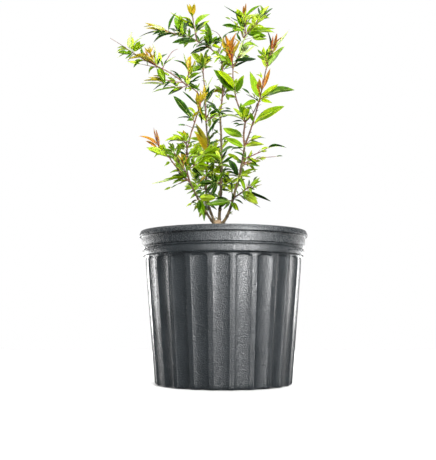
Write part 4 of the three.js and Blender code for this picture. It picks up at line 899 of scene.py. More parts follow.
        (200, 198, 199, 213, dark, 30, 1.3), (193, 203, 186, 207, green, 20),
        (198, 200, 190, 206, dark, 50), (199, 201, 194, 211, pale, 60))),
)

frontView = {"eye": (-9.0, -1333.0, 120.8), "rise": 5.69, "focus": 802.6, "middle": (218, 230)}
viewRise = math.radians(frontView["rise"])
viewEye = np.array(frontView["eye"])
viewAhead = np.array([0, math.cos(viewRise), math.sin(viewRise)])
viewUp = np.array([0, -viewAhead[2], viewAhead[1]])


def seenPoint(x, y, depth):
    # The point at that depth, its Y, which shows at (x, y) in the front view.
    ray = (viewAhead + viewUp * (frontView["middle"][1] - y) / frontView["focus"]
           + np.array([1.0, 0, 0]) * (x - frontView["middle"][0]) / frontView["focus"])
    return viewEye + ray * (depth - viewEye[1]) / ray[1]


def shownAt(points):
    away = points - viewEye
    ahead = away @ viewAhead
    return np.stack([frontView["middle"][0] + frontView["focus"] * away[..., 0] / ahead,
                     frontView["middle"][1] - frontView["focus"] * (away @ viewUp) / ahead], -1)


def nearestShown(points, x, y):
    return points[np.argmin(np.linalg.norm(shownAt(points) - np.array([x, y], float), axis=1))]


def smoothPath(corners, count):
    # Points at even steps along the corners, with the corners rounded off and the ends kept.
    corners = np.array(corners)
    run = np.concatenate([[0], np.cumsum(np.linalg.norm(np.diff(corners, axis=0), axis=1))])
    steps = np.linspace(0, run[-1], count)
    return rounded(np.stack([np.interp(steps, run, corners[:, k]) for k in range(3)], -1))


sprigForm = {
    "points": 17,
    "limbFeet": 80,                 # points of a limb where a twig may start
    "seats": (60, 160),             # points of the twig and of the limb where a leaf may sit
    "thick": (1.7, 0.7),            # the most at the foot, and at the tip
    "shortThick": 0.8,              # at the foot of the shortest twig
    "thickening": 30,               # a foot is 1 thicker for every such length of twig
    "lean": 0.6,                    # how far a leaf may lean out of the view, as a share of its length
    "rollJitter": 6,
    "firstSeed": 700, "seedStep": 5,
}
bentTwigs = []            # path, first and last radius


def growSprig(limb, corners, behind, rows, spray):
    rng = np.random.default_rng(spray)
    foot = nearestShown(limbPoint(limb, np.linspace(0, 1, sprigForm["limbFeet"])), *corners[0])
    ends = [foot] + [seenPoint(x, y, foot[1] + behind * (k + 1) / (len(corners) - 1))
                     for k, (x, y) in enumerate(corners[1:])]
    path = smoothPath(ends, sprigForm["points"])
    length = np.linalg.norm(np.diff(path, axis=0), axis=1).sum()
    most, last = sprigForm["thick"]
    first = min(most, sprigForm["shortThick"] + length / sprigForm["thickening"])
    bentTwigs.append((path, first / 2, last / 2))
    onTwig, onLimb = sprigForm["seats"]
    seats = np.concatenate([smoothPath(path, onTwig), limbPoint(limb, np.linspace(0, 1, onLimb))])
    for k, (footX, footY, tipX, tipY, kind, roll, *widths) in enumerate(rows):
        root = nearestShown(seats, footX, footY)
        tip = seenPoint(tipX, tipY, root[1])
        size = np.linalg.norm(tip - root)
        tip = seenPoint(tipX, tipY, root[1] + size * rng.uniform(-1, 1) * sprigForm["lean"])
        line = tip - root
        line = line + upwards * leafForm["droop"] * np.linalg.norm(line)
        size = np.linalg.norm(line)
        turn = roll * rng.choice([-1, 1]) + rng.normal(0, sprigForm["rollJitter"])
        leaves.append((root, line / size, size, turn, kind, spray + k // 3, *(widths or [1])))


for k, sprig in enumerate(sprigs):
    growSprig(*sprig, sprigForm["firstSeed"] + sprigForm["seedStep"] * k)
print("sprigs:", len(sprigs), "with", sum(len(sprig[3]) for sprig in sprigs), "leaves")


def addNode(tree, kind, inputs=None, **settings):
    # A node with its settings, and with each input a value, or a node or socket to link from.
    node = tree.nodes.new("ShaderNode" + kind if not kind.startswith("Node") else kind)
    for key, value in settings.items():
        setattr(node, key, value)
    for key, value in (inputs or {}).items():
        if isinstance(value, bpy.types.Node):
            value = value.outputs[0]
        if isinstance(value, bpy.types.NodeSocket):
            tree.links.new(value, node.inputs[key])
        else:
            node.inputs[key].default_value = value
    return node


def startGroup(name, inputs, outputs):
    tree = bpy.data.node_groups.new(name, "ShaderNodeTree")
    for socket, (kind, value) in inputs.items():
        made = tree.interface.new_socket(socket, in_out="INPUT", socket_type="NodeSocket" + kind)
        if value is not None:
            made.default_value = value
    for socket, kind in outputs.items():
        tree.interface.new_socket(socket, in_out="OUTPUT", socket_type="NodeSocket" + kind)
    return tree, addNode(tree, "NodeGroupInput").outputs, addNode(tree, "NodeGroupOutput").inputs


def mottleGroup():
    # Blends two colours by soft blotches of a size in millimetres.
    tree, given, result = startGroup("mottle", {
        "Place": ("Vector", None), "First": ("Color", (0.1, 0.1, 0.1, 1)),
        "Second": ("Color", (0.2, 0.2, 0.2, 1)), "Size": ("Float", 10.0),
        "Low": ("Float", 0.35), "High": ("Float", 0.65)}, {"Color": "Color", "Mask": "Float"})
    pace = addNode(tree, "Math", {0: 1000.0, 1: given["Size"]}, operation="DIVIDE")
    noise = addNode(tree, "TexNoise", {"Vector": given["Place"], "Scale": pace, "Detail": 4.0})
    mask = addNode(tree, "MapRange", {"Value": noise.outputs["Fac"], "From Min": given["Low"],
                                      "From Max": given["High"]})
    blend = addNode(tree, "Mix", {0: mask, 6: given["First"], 7: given["Second"]},
                    data_type="RGBA")
    tree.links.new(blend.outputs[2], result["Color"])
    tree.links.new(mask.outputs[0], result["Mask"])
    return tree


def grainGroup():
    # The height of a fine grain, stretched along Z by a factor, with a speckle on it.
    tree, given, result = startGroup("grain", {
        "Place": ("Vector", None), "Size": ("Float", 1.0), "Stretch": ("Float", 1.0),
        "Speckle": ("Float", 0.3)}, {"Height": "Float", "Mask": "Float"})
    pace = addNode(tree, "Math", {0: 1000.0, 1: given["Size"]}, operation="DIVIDE")
    slow = addNode(tree, "Math", {0: 1.0, 1: given["Stretch"]}, operation="DIVIDE")
    axes = addNode(tree, "CombineXYZ", {"X": 1.0, "Y": 1.0, "Z": slow})
    place = addNode(tree, "VectorMath", {0: given["Place"], 1: axes}, operation="MULTIPLY")
    long = addNode(tree, "TexNoise", {"Vector": place, "Scale": pace, "Detail": 3.0,
                                      "Roughness": 0.6})
    double = addNode(tree, "Math", {0: pace, 1: 1.7}, operation="MULTIPLY")
    dots = addNode(tree, "TexNoise", {"Vector": given["Place"], "Scale": double, "Detail": 2.0})
    sharp = addNode(tree, "MapRange", {"Value": dots.outputs["Fac"], "From Min": 0.45, "From Max": 0.7})
    height = addNode(tree, "Math", {0: sharp, 1: given["Speckle"], 2: long.outputs["Fac"]},
                     operation="MULTIPLY_ADD")
    tree.links.new(height.outputs[0], result["Height"])
    tree.links.new(sharp.outputs[0], result["Mask"])
    return tree


mottle = mottleGroup()
grain = grainGroup()


def makeMaterial(name, look):
    # Blotches of two colours at two sizes, a grain in the bump, and a roughness that follows the grain.
    material = bpy.data.materials.new(name)
    material.use_nodes = True
    tree = material.node_tree
    tree.nodes.clear()
    place = addNode(tree, "TexCoord").outputs["Object"]
    first, second, fleck = (srgb(*look[key]) for key in ("first", "second", "fleck"))
    wide = addNode(tree, "Group", {"Place": place, "First": first, "Second": second,
                                   "Size": look["blotch"], "Low": 0.38, "High": 0.62}, node_tree=mottle)
    small = addNode(tree, "Group", {"Place": place, "First": wide.outputs["Color"], "Second": fleck,
                                    "Size": look["fleckSize"], "Low": look.get("fleckLow", 0.55),
                                    "High": look.get("fleckHigh", 0.72)}, node_tree=mottle)
    lines = addNode(tree, "Group", {"Place": place, "Size": look["grain"],
                                    "Stretch": look.get("stretch", 1.0),
                                    "Speckle": look.get("speckle", 0.3)}, node_tree=grain)
    rough = addNode(tree, "MapRange", {"Value": lines.outputs["Height"], "From Min": 0.3, "From Max": 0.9,
                                       "To Min": look["rough"][0], "To Max": look["rough"][1]})
    if "dull" in look:  # worn matt above a height
        height = addNode(tree, "SeparateXYZ", {0: place}).outputs["Z"]
        foot, top, more = look["dull"]
        worn = addNode(tree, "MapRange", {"Value": height, "From Min": foot * millimetre,
                                          "From Max": top * millimetre, "To Min": 0.0, "To Max": more})
        rough = addNode(tree, "Math", {0: rough, 1: worn}, operation="ADD")
    bump = addNode(tree, "Bump", {"Height": lines.outputs["Height"], "Strength": look["bump"],
                                  "Distance": look["depth"] * millimetre})
    shader = addNode(tree, "BsdfPrincipled", {
        "Base Color": small.outputs["Color"], "Roughness": rough, "Normal": bump,
        "Specular IOR Level": look.get("specular", 0.5), "Coat Weight": look.get("coat", 0.0),
        "Coat Roughness": 0.2, "Subsurface Weight": look.get("glow", 0.0),
        "Subsurface Scale": 0.002, "Subsurface Radius": look.get("glowRadius", (1.0, 1.0, 1.0))})
    addNode(tree, "OutputMaterial", {"Surface": shader})
    return material


# first and second are the screen colours of the blotches, and fleck that of small flecks over them. blotch,
# fleckSize, grain and depth are in millimetres, rough the least and the most roughness, and dull two
# heights between which the roughness rises by its last value.
potLook = dict(first=(39, 43, 46), second=(45, 49, 52), fleck=(51, 55, 57), blotch=45.0,
               fleckSize=3.0, grain=3.0, stretch=4.0, speckle=1.0, rough=(0.05, 0.18), bump=0.55,
               depth=0.68, dull=(216, 226, 0.12))
soilLook = dict(first=(44, 27, 24), second=(74, 46, 38), fleck=(26, 15, 14), blotch=9.0,
                fleckSize=1.6, grain=1.4, speckle=0.8, rough=(0.8, 1.0), bump=0.9, depth=1.2)
chipLooks = [dict(soilLook, first=first, second=second) for first, second in (
    ((50, 28, 24), (86, 50, 40)), ((34, 19, 18), (60, 34, 28)), ((92, 56, 42), (126, 84, 62)))]
perliteLook = dict(first=(222, 218, 210), second=(246, 244, 238), blotch=4.0, fleckSize=1.0,
                   fleck=(196, 188, 178), grain=0.7, speckle=0.7, rough=(0.7, 0.95), bump=0.7,
                   depth=0.4)
barkLook = dict(first=(102, 88, 62), second=(54, 44, 30), fleck=(152, 136, 104), blotch=7.0,
                fleckSize=1.6, grain=0.9, stretch=3.5, speckle=0.35, rough=(0.6, 0.85), bump=0.6,
                depth=0.35, specular=0.15)
youngBarkLook = dict(first=(108, 74, 50), second=(72, 46, 34), fleck=(148, 110, 82),
                     blotch=14.0, fleckSize=1.2, grain=0.7, stretch=4.0, rough=(0.45, 0.7), bump=0.4,
                     depth=0.25, specular=0.2)
stumpLook = dict(barkLook, first=(172, 148, 118), second=(128, 102, 78), fleck=(198, 178, 150))
redTwigLook = dict(youngBarkLook, first=(120, 62, 58), second=(92, 50, 44),
                   fleck=(150, 96, 72))
# The ribs' pale colour is partly the midribs' own paler colour and partly a painted highlight along the rib.
ribLook = dict(first=(176, 196, 92), second=(150, 178, 70), blotch=20.0, fleckSize=3.0,
               fleck=(196, 206, 120), grain=0.6, stretch=1.0, rough=(0.35, 0.5), bump=0.2, depth=0.1)
redRibLook = dict(ribLook, first=(188, 120, 60), second=(160, 78, 52), fleck=(206, 150, 84))
leafShades = {"second": 0.84, "fleck": (1.12, 6)}   # of a leaf's tint: a factor, and what is added to it


def leafLook(tint):
    # One tint with deeper blotches and paler flecks, glossy, with light passing through.
    tint = np.array(tint, float)
    factor, more = leafShades["fleck"]
    return dict(first=tint, second=tint * leafShades["second"], fleck=np.minimum(tint * factor + more, 255),
                blotch=16.0, fleckSize=2.4, fleckLow=0.5, fleckHigh=0.8, grain=1.1, speckle=0.5,
                rough=(0.24, 0.38), bump=0.35, depth=0.18, specular=0.12, glow=0.25,
                glowRadius=(0.8, 1.0, 0.1))


limbForm = {
    "step": 0.9,              # between rings
    "sides": 18,
    "wander": 0.35,           # how far the limb strays from its smooth line
    "wanderLength": 26,
    "swelling": 0.22,         # of a node, as a share of the radius
    "nodeLength": 1.6,
    "nodeSpacing": 15.0,
    "firstNode": (6, 12),
    "nodeShift": 3,
    "reliefRadius": 2.0,      # where the noise for ridges and furrows is read
    "ridges": 3, "ridge": 0.06, "ridgeSway": 2.5, "ridgeSize": 9, "ridgeScale": 0.4,
    "furrow": 0.07, "furrowSize": 1.6, "furrowStretch": 0.3,
    "tipLength": 1.5, "tipBlunt": 0.02,
}


def limbSkin(name, seed):
    # Ring s: the limb's point, plus its radius in all directions square to it, times 1 + swellings at
    # the nodes + long ridges + furrows. The last rings close in a round tip.
    rng = np.random.default_rng(seed)
    form = limbForm
    length = limbLength(name)
    share = np.linspace(0, 1, int(length / form["step"]))
    path = limbPoint(name, share)
    path = path + np.sin(np.pi * share)[:, None] * form["wander"] * strays(path, form["wanderLength"], seed)
    direction = circlesAlong(unit(np.gradient(path, axis=0)), front, form["sides"])
    angle = roundTurn(form["sides"])[None]
    distance = share[:, None] * length
    swell = np.zeros_like(distance)
    for place in np.arange(rng.uniform(*form["firstNode"]), length, form["nodeSpacing"]):
        place = place + rng.uniform(-form["nodeShift"], form["nodeShift"])
        swell = swell + form["swelling"] * np.exp(-((distance - place) / form["nodeLength"]) ** 2)
    rough = path[:, None] + direction * form["reliefRadius"]
    sway = form["ridgeSway"] * waves(rough * form["ridgeScale"], form["ridgeSize"], seed + 5)
    ridges = form["ridge"] * np.sin(form["ridges"] * angle + sway)
    stretched = rough * np.array([1, 1, form["furrowStretch"]])
    furrows = form["furrow"] * waves(stretched, form["furrowSize"], seed + 6)
    tip = np.sqrt(np.clip((length - distance) / form["tipLength"] + form["tipBlunt"], 0, 1))
    radius = limbRadius(name, share)[:, None] * (1 + swell + ridges + furrows) * tip
    return closedSkin(path[:, None] + direction * radius[..., None], path[0], path[-1])


stump = {
    "foot": (-8.0, 0.0, 225.3), "height": 45.0, "lean": -1.0,
    "sections": ((0, 18), (0.12, 12), (0.35, 8.5), (0.65, 7.2), (0.82, 8), (0.93, 7), (1, 4)),
    "roots": 5, "swell": 0.22, "swellFade": 6,
    "rings": 90, "sides": 96, "sunk": 3.0, "crown": 0.6,
    "burls": 0.09, "burlSize": 9, "burlReach": 1.3,
    "ridges": 0.05, "ridgeSize": 2.2, "ridgeStretch": 2.2,
    "reliefRadius": 8, "reliefRise": 5,     # the column where the noise is read, and its height in radii
}


def stumpSkin():
    # Ring s: a circle of the section's radius, times a lobe over each root that fades upwards as
    # exp(-swellFade s), times 1 + burls + upright ridges. The foot goes on a little into the soil.
    share = np.linspace(0, 1, stump["rings"])[:, None]
    shares, radii = np.array(stump["sections"]).T
    bend = rounded(np.interp(share, shares, radii))
    angle = roundTurn(stump["sides"])[None]
    lobe = 1 + stump["swell"] * np.exp(-stump["swellFade"] * share) * np.cos(stump["roots"] * angle)
    place = ringPoints(1 + 0 * share, angle, share * stump["reliefRise"])
    column = stump["reliefRadius"]
    burl = (stump["burls"] * waves(place * column, stump["burlSize"], 3)
            * np.sin(np.pi * np.clip(share * stump["burlReach"], 0, 1)))
    stretched = place * np.array([column, column, stump["ridgeStretch"]])
    ridge = stump["ridges"] * waves(stretched, stump["ridgeSize"], 4)
    radius = bend * lobe * (1 + burl + ridge)
    foot = np.array(stump["foot"])
    height = share * (stump["height"] + stump["sunk"]) - stump["sunk"]
    skin = np.stack([foot[0] + stump["lean"] * share + radius * np.cos(angle),
                     foot[1] + radius * np.sin(angle), foot[2] + height + 0 * angle], -1)
    top = foot + np.array([stump["lean"], 0, stump["height"] + stump["crown"]])
    return closedSkin(skin, foot - upwards * stump["sunk"], top)


barkMaterial = makeMaterial("barkOld", barkLook)
youngBarkMaterial = makeMaterial("barkYoung", youngBarkLook)
makePiece("stump", stumpSkin(), makeMaterial("barkStump", stumpLook), ["trunk"])
for seed, name in enumerate(limbs, start=40):
    old = name.startswith("stem")
    makePiece("bark_" + name, limbSkin(name, seed), barkMaterial if old else youngBarkMaterial,
              [name])
print("limbs:", len(limbs))


spurForm = {
    "spacing": 13.0, "ends": (8, 4), "shift": 3,    # along a limb
    "turns": (180, 97), "opening": (50, 80), "lift": 0.2,
    "length": (3.0, 8.0), "thick": (0.75, 0.25), "leaf": (8.0, 18.0),
    "leafy": 0.35,                  # the share of the spurs that carry a few small leaves
    "tip": (1, 4),                  # least number of these leaves, and one more than the most
    "kinds": (green, dark, lime, green),
    "seed": 77,
}


def growSpurs():
    # Short spurs that leave a limb nearly square, some bare and pointed, some with small leaves.
    rng = np.random.default_rng(spurForm["seed"])
    spurs = []
    first, last = spurForm["ends"]
    for name in limbs:
        turn = rng.uniform(0, 360)
        length = limbLength(name)
        for distance in np.arange(first, length - last, spurForm["spacing"]):
            share = (distance + rng.uniform(-spurForm["shift"], spurForm["shift"])) / length
            turn += spurForm["turns"][0 if rng.random() < 0.5 else 1]
            place = limbPoint(name, share)
            along = unit(limbPoint(name, share + 0.01) - place)
            side = unit(np.cross(along, front))
            heading = turned(along, turned(side, along, turn), rng.uniform(*spurForm["opening"]))
            heading = unit(heading + spurForm["lift"] * upwards)
            spur = (place, heading, rng.uniform(*spurForm["length"]) + limbRadius(name, share))
            spurs.append(spur)
            if rng.random() < spurForm["leafy"]:
                kind = str(rng.choice(spurForm["kinds"]))
                growLeaves(spur, 0, rng.uniform(*spurForm["leaf"]), int(rng.integers(*spurForm["tip"])),
                           kind, iter(rng.random, None), int(rng.integers(1000)))
    return spurs


spurs = growSpurs()

twigForm = {
    "rings": 17, "spurRings": 6, "sides": 6, "spurSides": 5,
    "redShare": 0.5,
    "crook": 0.35, "crookSize": 11, "crookFrom": 20,    # a twig shorter than the last is crooked less
    "joint": 0.16, "joints": 4,
    "tipEnd": 1.04, "tipRound": 12,     # where the round tip would close, and how fast
}


def columnsOf(rows, *columns):
    return (np.array([row[k] for row in rows], float) for k in columns)


def straightPaths(rows, rings):
    # Paths along start + direction length t + rise t^2, a little crooked.
    starts, alongs, lengths = columnsOf(rows, 0, 1, 2)
    share = np.linspace(0, 1, rings)[None]
    length = lengths[:, None]
    path = (starts[:, None] + alongs[:, None] * (length * share)[..., None]
            + upwards * (growth["rise"] * length * share * share)[..., None])
    crook = twigForm["crook"] * np.sin(np.pi * share) * np.minimum(length / twigForm["crookFrom"], 1)
    return path + strays(path, twigForm["crookSize"], 20) * crook[..., None]


def twigSkins(paths, first, last, sides):
    # Rods that taper along their paths, thicker at their joints, with rounded tips.
    share = np.linspace(0, 1, paths.shape[1])[None]
    joints = 1 + twigForm["joint"] * np.cos(2 * np.pi * share * twigForm["joints"])
    taper = mix(first[:, None], last[:, None], share)
    tip = np.sqrt(np.clip((twigForm["tipEnd"] - share) * twigForm["tipRound"], 0, 1))
    return rods(paths, taper * joints * tip, sides)


paths = np.concatenate([straightPaths(twigs, twigForm["rings"]), np.stack([row[0] for row in bentTwigs])])
firsts = np.array([row[3] for row in twigs] + [row[1] for row in bentTwigs])
lasts = np.array([row[4] for row in twigs] + [row[2] for row in bentTwigs])
isRed = np.random.default_rng(5).random(len(paths)) < twigForm["redShare"]
for name, chosen, material in (("twigs_brown", ~isRed, youngBarkMaterial),
                               ("twigs_red", isRed, makeMaterial("barkRed", redTwigLook))):
    skins = twigSkins(paths[chosen], firsts[chosen], lasts[chosen], twigForm["sides"])
    makePiece(name, skins, material)
thickness = (np.full(len(spurs), size) for size in spurForm["thick"])
skins = twigSkins(straightPaths(spurs, twigForm["spurRings"]), *thickness, twigForm["spurSides"])
makePiece("spurs", skins, barkMaterial)
print("twigs:", len(paths), "and spurs:", len(spurs))


def leafTable(rows):
    roots, alongs, lengths, rolls = columnsOf(rows, 0, 1, 2, 3)
    widths = np.array([growth["widths"][row[4]] * row[6] for row in rows])
    return roots, alongs, lengths, rolls, widths


def tintOf(kind, spray):
    # The leaves of a spray share a tint of their kind.
    return kind, (spray * 7 + spray // 3) % len(tints[kind])


(points, *faces), (ribPaths, ribRadii) = leafShapes(leafTable(leaves), np.random.default_rng(9))
tips = points[:, -1]
slack = leafForm["boxSlack"]
keep = clearOfLimbs(points) & np.all((tips > boxLow - slack) & (tips < boxHigh + slack), 1)
leafTints = [tintOf(row[4], row[5]) for row in leaves]
massesOfKind = {}
for mass in masses:
    massesOfKind.setdefault(mass["kind"], []).append(mass["name"])
for kind, colours in tints.items():
    for number, colour in enumerate(colours):
        chosen = np.array([tint == (kind, number) for tint in leafTints]) & keep
        if not chosen.any():
            continue
        name = "foliage_%s_%s" % (kind, "abc"[number])
        makePiece(name, repeated(points[chosen], *faces), makeMaterial(name, leafLook(colour)),
                  massesOfKind.pop(kind, ()), creaseAngle=35)
        print(name, int(chosen.sum()))
isWarm = np.array([row[4] in warmKinds for row in leaves])
for name, chosen, look, slotName in (("ribs_green", keep & ~isWarm, ribLook, "leaf_lime"),
                                     ("ribs_red", keep & isWarm, redRibLook, "leaf_orange")):
    makePiece(name, rods(ribPaths[chosen], ribRadii[chosen], 4), makeMaterial(name, look))
print("leaves:", int(keep.sum()), "of", len(leaves))


pot = {
    # Corners of the wall as radius and height, then how far the line to the next corner bows outwards
    # and in how many steps: up the outside and over the lip, then down the inside.
    "outside": (
        (20, 0, 0, 6), (106.5, 0, 1.4, 7), (112.4, 4.2, 0, 46), (128.2, 190, 0, 20),
        (128.9, 206, -0.5, 4), (130.6, 208.8, 0, 3), (133.2, 209.2, 0.2, 3), (134.0, 210.4, 0.35, 8),
        (133.7, 219.2, -0.2, 3), (132.8, 220.3, -0.2, 3), (133.8, 221.3, 0.5, 5), (133.9, 223.2, -0.1, 2),
        (133.5, 223.9, -0.25, 4), (135.3, 225.3, 0.1, 8), (135.4, 238.8, -0.3, 3), (136.2, 240.1, 0, 3),
        (138.9, 240.2, 0.55, 5), (139.7, 242.2, 0.25, 7), (137.6, 248.0, 0.6, 5)),
    "inside": (
        (135.6, 249.9, 0.5, 4), (133.4, 248.4, 0, 8), (133.3, 226, 0, 3), (131.8, 222, 0, 2),
        (131.6, 211, 0, 3), (126.9, 206, 0, 16), (110.6, 8, -1.2, 4), (105, 2.5, 0, 4), (20, 2.5, 0, 1)),
    "floor": 2.5,
    "flutes": 23, "fluteTurn": -84.0, "fluteDepth": 3.0, "fluteTop": 207.0,
    "fluteRadius": 106,       # the wall is fluted outside this radius
    "fluteShape": 0.8,        # power of a channel's arc
    "arch": 3.0,              # how far the rounded top of a channel reaches below its middle
    "fade": 2.5,              # height over which a channel runs out
    "ridge": 1.9,             # half the width of a flat ridge, in degrees
    "ridgeSteps": 6, "channelSteps": 14,
    "seam": 0.3, "seamWidth": 0.0035, "seamSpan": ((2, 8), (236, 239)),     # the width in radians
    "waver": 0.22,            # how far the wall strays from round
    "waverSize": 70, "waverStretch": 0.4, "waverSpan": ((3, 15), (200, 208)),
    "drainHoles": 6, "drainRadius": 6.0, "drainCircle": 90.0, "drainSides": 32, "drill": (-3, 6),
}


def bowed(start, end, bow, count):
    # Points from start to end, radius and height, that bow outwards by bow 4 s(1 - s).
    start, end = np.array(start, float), np.array(end, float)
    share = np.linspace(0, 1, count, endpoint=False)[:, None]
    across = unit(np.array([end[1] - start[1], start[0] - end[0]]))
    return start + (end - start) * share + across * bow * 4 * share * (1 - share)


def potProfile():
    # Radius and height of each ring, and whether it is on the outside.
    corners = pot["outside"] + pot["inside"]
    runs = [bowed(start, end[:2], bow, count) for (*start, bow, count), end in zip(corners, corners[1:])]
    profile = np.concatenate(runs + [[corners[-1][:2]]])
    outside = sum(corner[3] for corner in pot["outside"])
    return profile[:, :1], profile[:, 1:], np.arange(len(profile))[:, None] < outside


def potShell():
    # Ring z: its radius less the depth of a channel, which is an arc (1 - d^2)^fluteShape over the
    # channel's half width d, closed at the top by a round arch, plus a parting line and a slight waver.
    radius, height, isOutside = potProfile()
    spacing = 360 / pot["flutes"]
    half = spacing / 2 - pot["ridge"]
    bend = 1 - np.cos(np.linspace(0, np.pi, pot["channelSteps"] + 1)[:-1])
    offsets = np.concatenate([np.linspace(-pot["ridge"], pot["ridge"], pot["ridgeSteps"] + 1)[:-1],
                              pot["ridge"] + 2 * half * bend / 2])
    angle = (pot["fluteTurn"] + spacing * np.arange(pot["flutes"])[:, None] + offsets).ravel()
    away = (offsets - spacing / 2) / half
    arc = np.where(np.abs(away) < 1, (1 - away ** 2) ** pot["fluteShape"], 0)
    channel = np.tile(arc, pot["flutes"])[None]
    away = np.tile(np.clip(np.abs(away), 0, 1), pot["flutes"])[None]
    top = pot["fluteTop"] - pot["arch"] * away ** 2
    closed = 1 - smooth(top - pot["fade"], top, height)
    grooved = channel * pot["fluteDepth"] * closed * np.where(radius > pot["fluteRadius"], 1, 0)
    turn = np.radians(angle)[None]
    place = ringPoints(radius, turn, height) * np.array([1, 1, pot["waverStretch"]])
    waver = pot["waver"] * between(pot["waverSpan"], height) * waves(place, pot["waverSize"], 8)
    fromSeam = (np.radians(angle - pot["fluteTurn"]) + np.pi / 2) % np.pi - np.pi / 2
    seam = pot["seam"] * np.exp(-(fromSeam / pot["seamWidth"]) ** 2) * between(pot["seamSpan"], height)
    skin = ringPoints(radius - grooved + waver + np.where(isOutside, seam, 0), turn, height)
    return closedSkin(skin, (0, 0, 0), (0, 0, pot["floor"]))


def drillDrains(shell):
    # Round holes through the floor, cut by one Boolean.
    count = pot["drainHoles"]
    spots = 2 * np.pi * (np.arange(count) + 0.5) / count
    ends = [ringPoints(pot["drainCircle"], spots, height) for height in pot["drill"]]
    radii = np.full((count, 2), pot["drainRadius"])
    points, quads, triangles = rods(np.stack(ends, 1), radii, pot["drainSides"])
    mesh = bpy.data.meshes.new("drills")
    mesh.from_pydata((points * millimetre).tolist(), [], quads.tolist() + triangles.tolist())
    cutter = addObject("drills", mesh)
    cut = shell.modifiers.new("drains", "BOOLEAN")
    cut.operation, cut.solver, cut.object = "DIFFERENCE", "MANIFOLD", cutter
    graph = bpy.context.evaluated_depsgraph_get()
    drilled = bpy.data.meshes.new_from_object(shell.evaluated_get(graph))
    shell.modifiers.clear()
    shell.data = drilled
    bpy.data.objects.remove(cutter)


potPiece = makePiece("pot_shell", potShell(), makeMaterial("potPlastic", potLook), ["pot"])
drillDrains(potPiece)
print("pot:", len(potPiece.data.polygons), "faces")


soil = {
    "height": 225.0, "mound": 1.32,         # how far the packed soil's slow waves rise
    "sections": ((2.8, 102.0), (8.5, 107.0), (197.5, 122.0), (209.0, 125.0), (214.0, 131.0), (221.5, 131.2)),
    "rings": 70, "sides": 220, "reach": 131.0, "crowding": 0.9,     # of the rings towards the rim
    "flat": ((0, 30), (118, 128)), "calm": (126, 131),      # radii where the waves and the grit fade
    "lump": (1.3, 14), "grit": (0.5, 4), "settled": 1.0,    # height and size, and how far both sink
    "chips": 1500, "chip": (1.6, 5.5), "chipFlatness": 0.25,
    "grains": 420, "grain": (0.7, 1.9), "grainFlatness": 0.6,
    "stumpRoom": 17.0, "wallRoom": 4.5, "lift": 0.12,
}
pebble = {
    "shrink": (0.5, 1), "corner": (0.65, 1.2), "long": (0.8, 1.3), "broad": (0.5, 0.9), "flat": 0.25,
    "tilt": 0.35,             # in radians
}


def soilTop(x, y):
    # The packed soil's slow waves, with lumps and grit on it, flat at the middle and the pot's wall.
    radius = np.hypot(x, y)
    angle = np.arctan2(y, x)
    slow = np.sin(3 * angle + radius / 9) * np.cos(5 * angle - radius / 13)
    place = np.stack([x, y, 0 * x], -1)
    (lump, lumpSize), (grit, gritSize) = soil["lump"], soil["grit"]
    fine = lump * waves(place, lumpSize, 31) + grit * waves(place, gritSize, 32)
    return (soil["height"] + between(soil["flat"], radius) * (soil["mound"] * slow)
            + (fine - soil["settled"]) * (1 - smooth(*soil["calm"], radius)))


def soilBody():
    # Rings up the side, then over the top to the middle.
    angle = roundTurn(soil["sides"])[None]
    heights, radii = np.array(soil["sections"]).T[:, :, None]
    share = np.linspace(0, 1, soil["rings"], endpoint=False)[:, None]
    radius = soil["reach"] * (1 - share) ** soil["crowding"]
    x, y = radius * np.cos(angle), radius * np.sin(angle)
    skin = np.concatenate([ringPoints(radii, angle, heights), np.stack([x, y, soilTop(x, y)], -1)])
    middle = soilTop(np.zeros(1), np.zeros(1))[0]
    return closedSkin(skin, (0, 0, soil["sections"][0][0]), (0, 0, middle))


def pebbles(count, sizes, flatness, seed):
    # Rough lumps of twenty faces: the corners of an icosahedron at uneven distances, squashed along
    # three axes, turned at random and half sunk into the soil.
    rng = np.random.default_rng(seed)
    golden = (1 + math.sqrt(5)) / 2
    corners = np.array([[-1, golden, 0], [1, golden, 0], [-1, -golden, 0], [1, -golden, 0],
                        [0, -1, golden], [0, 1, golden], [0, -1, -golden], [0, 1, -golden],
                        [golden, 0, -1], [golden, 0, 1], [-golden, 0, -1], [-golden, 0, 1]])
    faces = np.array([[0, 11, 5], [0, 5, 1], [0, 1, 7], [0, 7, 10], [0, 10, 11], [1, 5, 9], [5, 11, 4],
                      [11, 10, 2], [10, 7, 6], [7, 1, 8], [3, 9, 4], [3, 4, 2], [3, 2, 6], [3, 6, 8],
                      [3, 8, 9], [4, 9, 5], [2, 4, 11], [6, 2, 10], [8, 6, 7], [9, 8, 1]])
    size = rng.uniform(*sizes, (count, 1)) * rng.uniform(*pebble["shrink"], (count, 1))
    shape = unit(corners)[None] * rng.uniform(*pebble["corner"], (count, 12, 1))
    squash = np.stack([rng.uniform(*span, count) for span in (
        pebble["long"], pebble["broad"], (flatness, flatness + pebble["flat"]))], -1)
    shape = shape * size[:, None] * squash[:, None]
    tilt = np.stack([rng.normal(0, pebble["tilt"], count), rng.normal(0, pebble["tilt"], count),
                     rng.uniform(0, 2 * np.pi, count)], -1)
    shape = np.einsum("nij,nkj->nki", rotated(tilt), shape)
    radius = mix(soil["stumpRoom"], soil["reach"] - soil["wallRoom"], np.sqrt(rng.random(count)))
    angle = rng.uniform(0, 2 * np.pi, count)
    x, y = radius * np.cos(angle), radius * np.sin(angle)
    place = np.stack([x, y, soilTop(x, y) + size[:, 0] * soil["lift"]], -1)
    return repeated(shape + place[:, None], noQuads, faces)


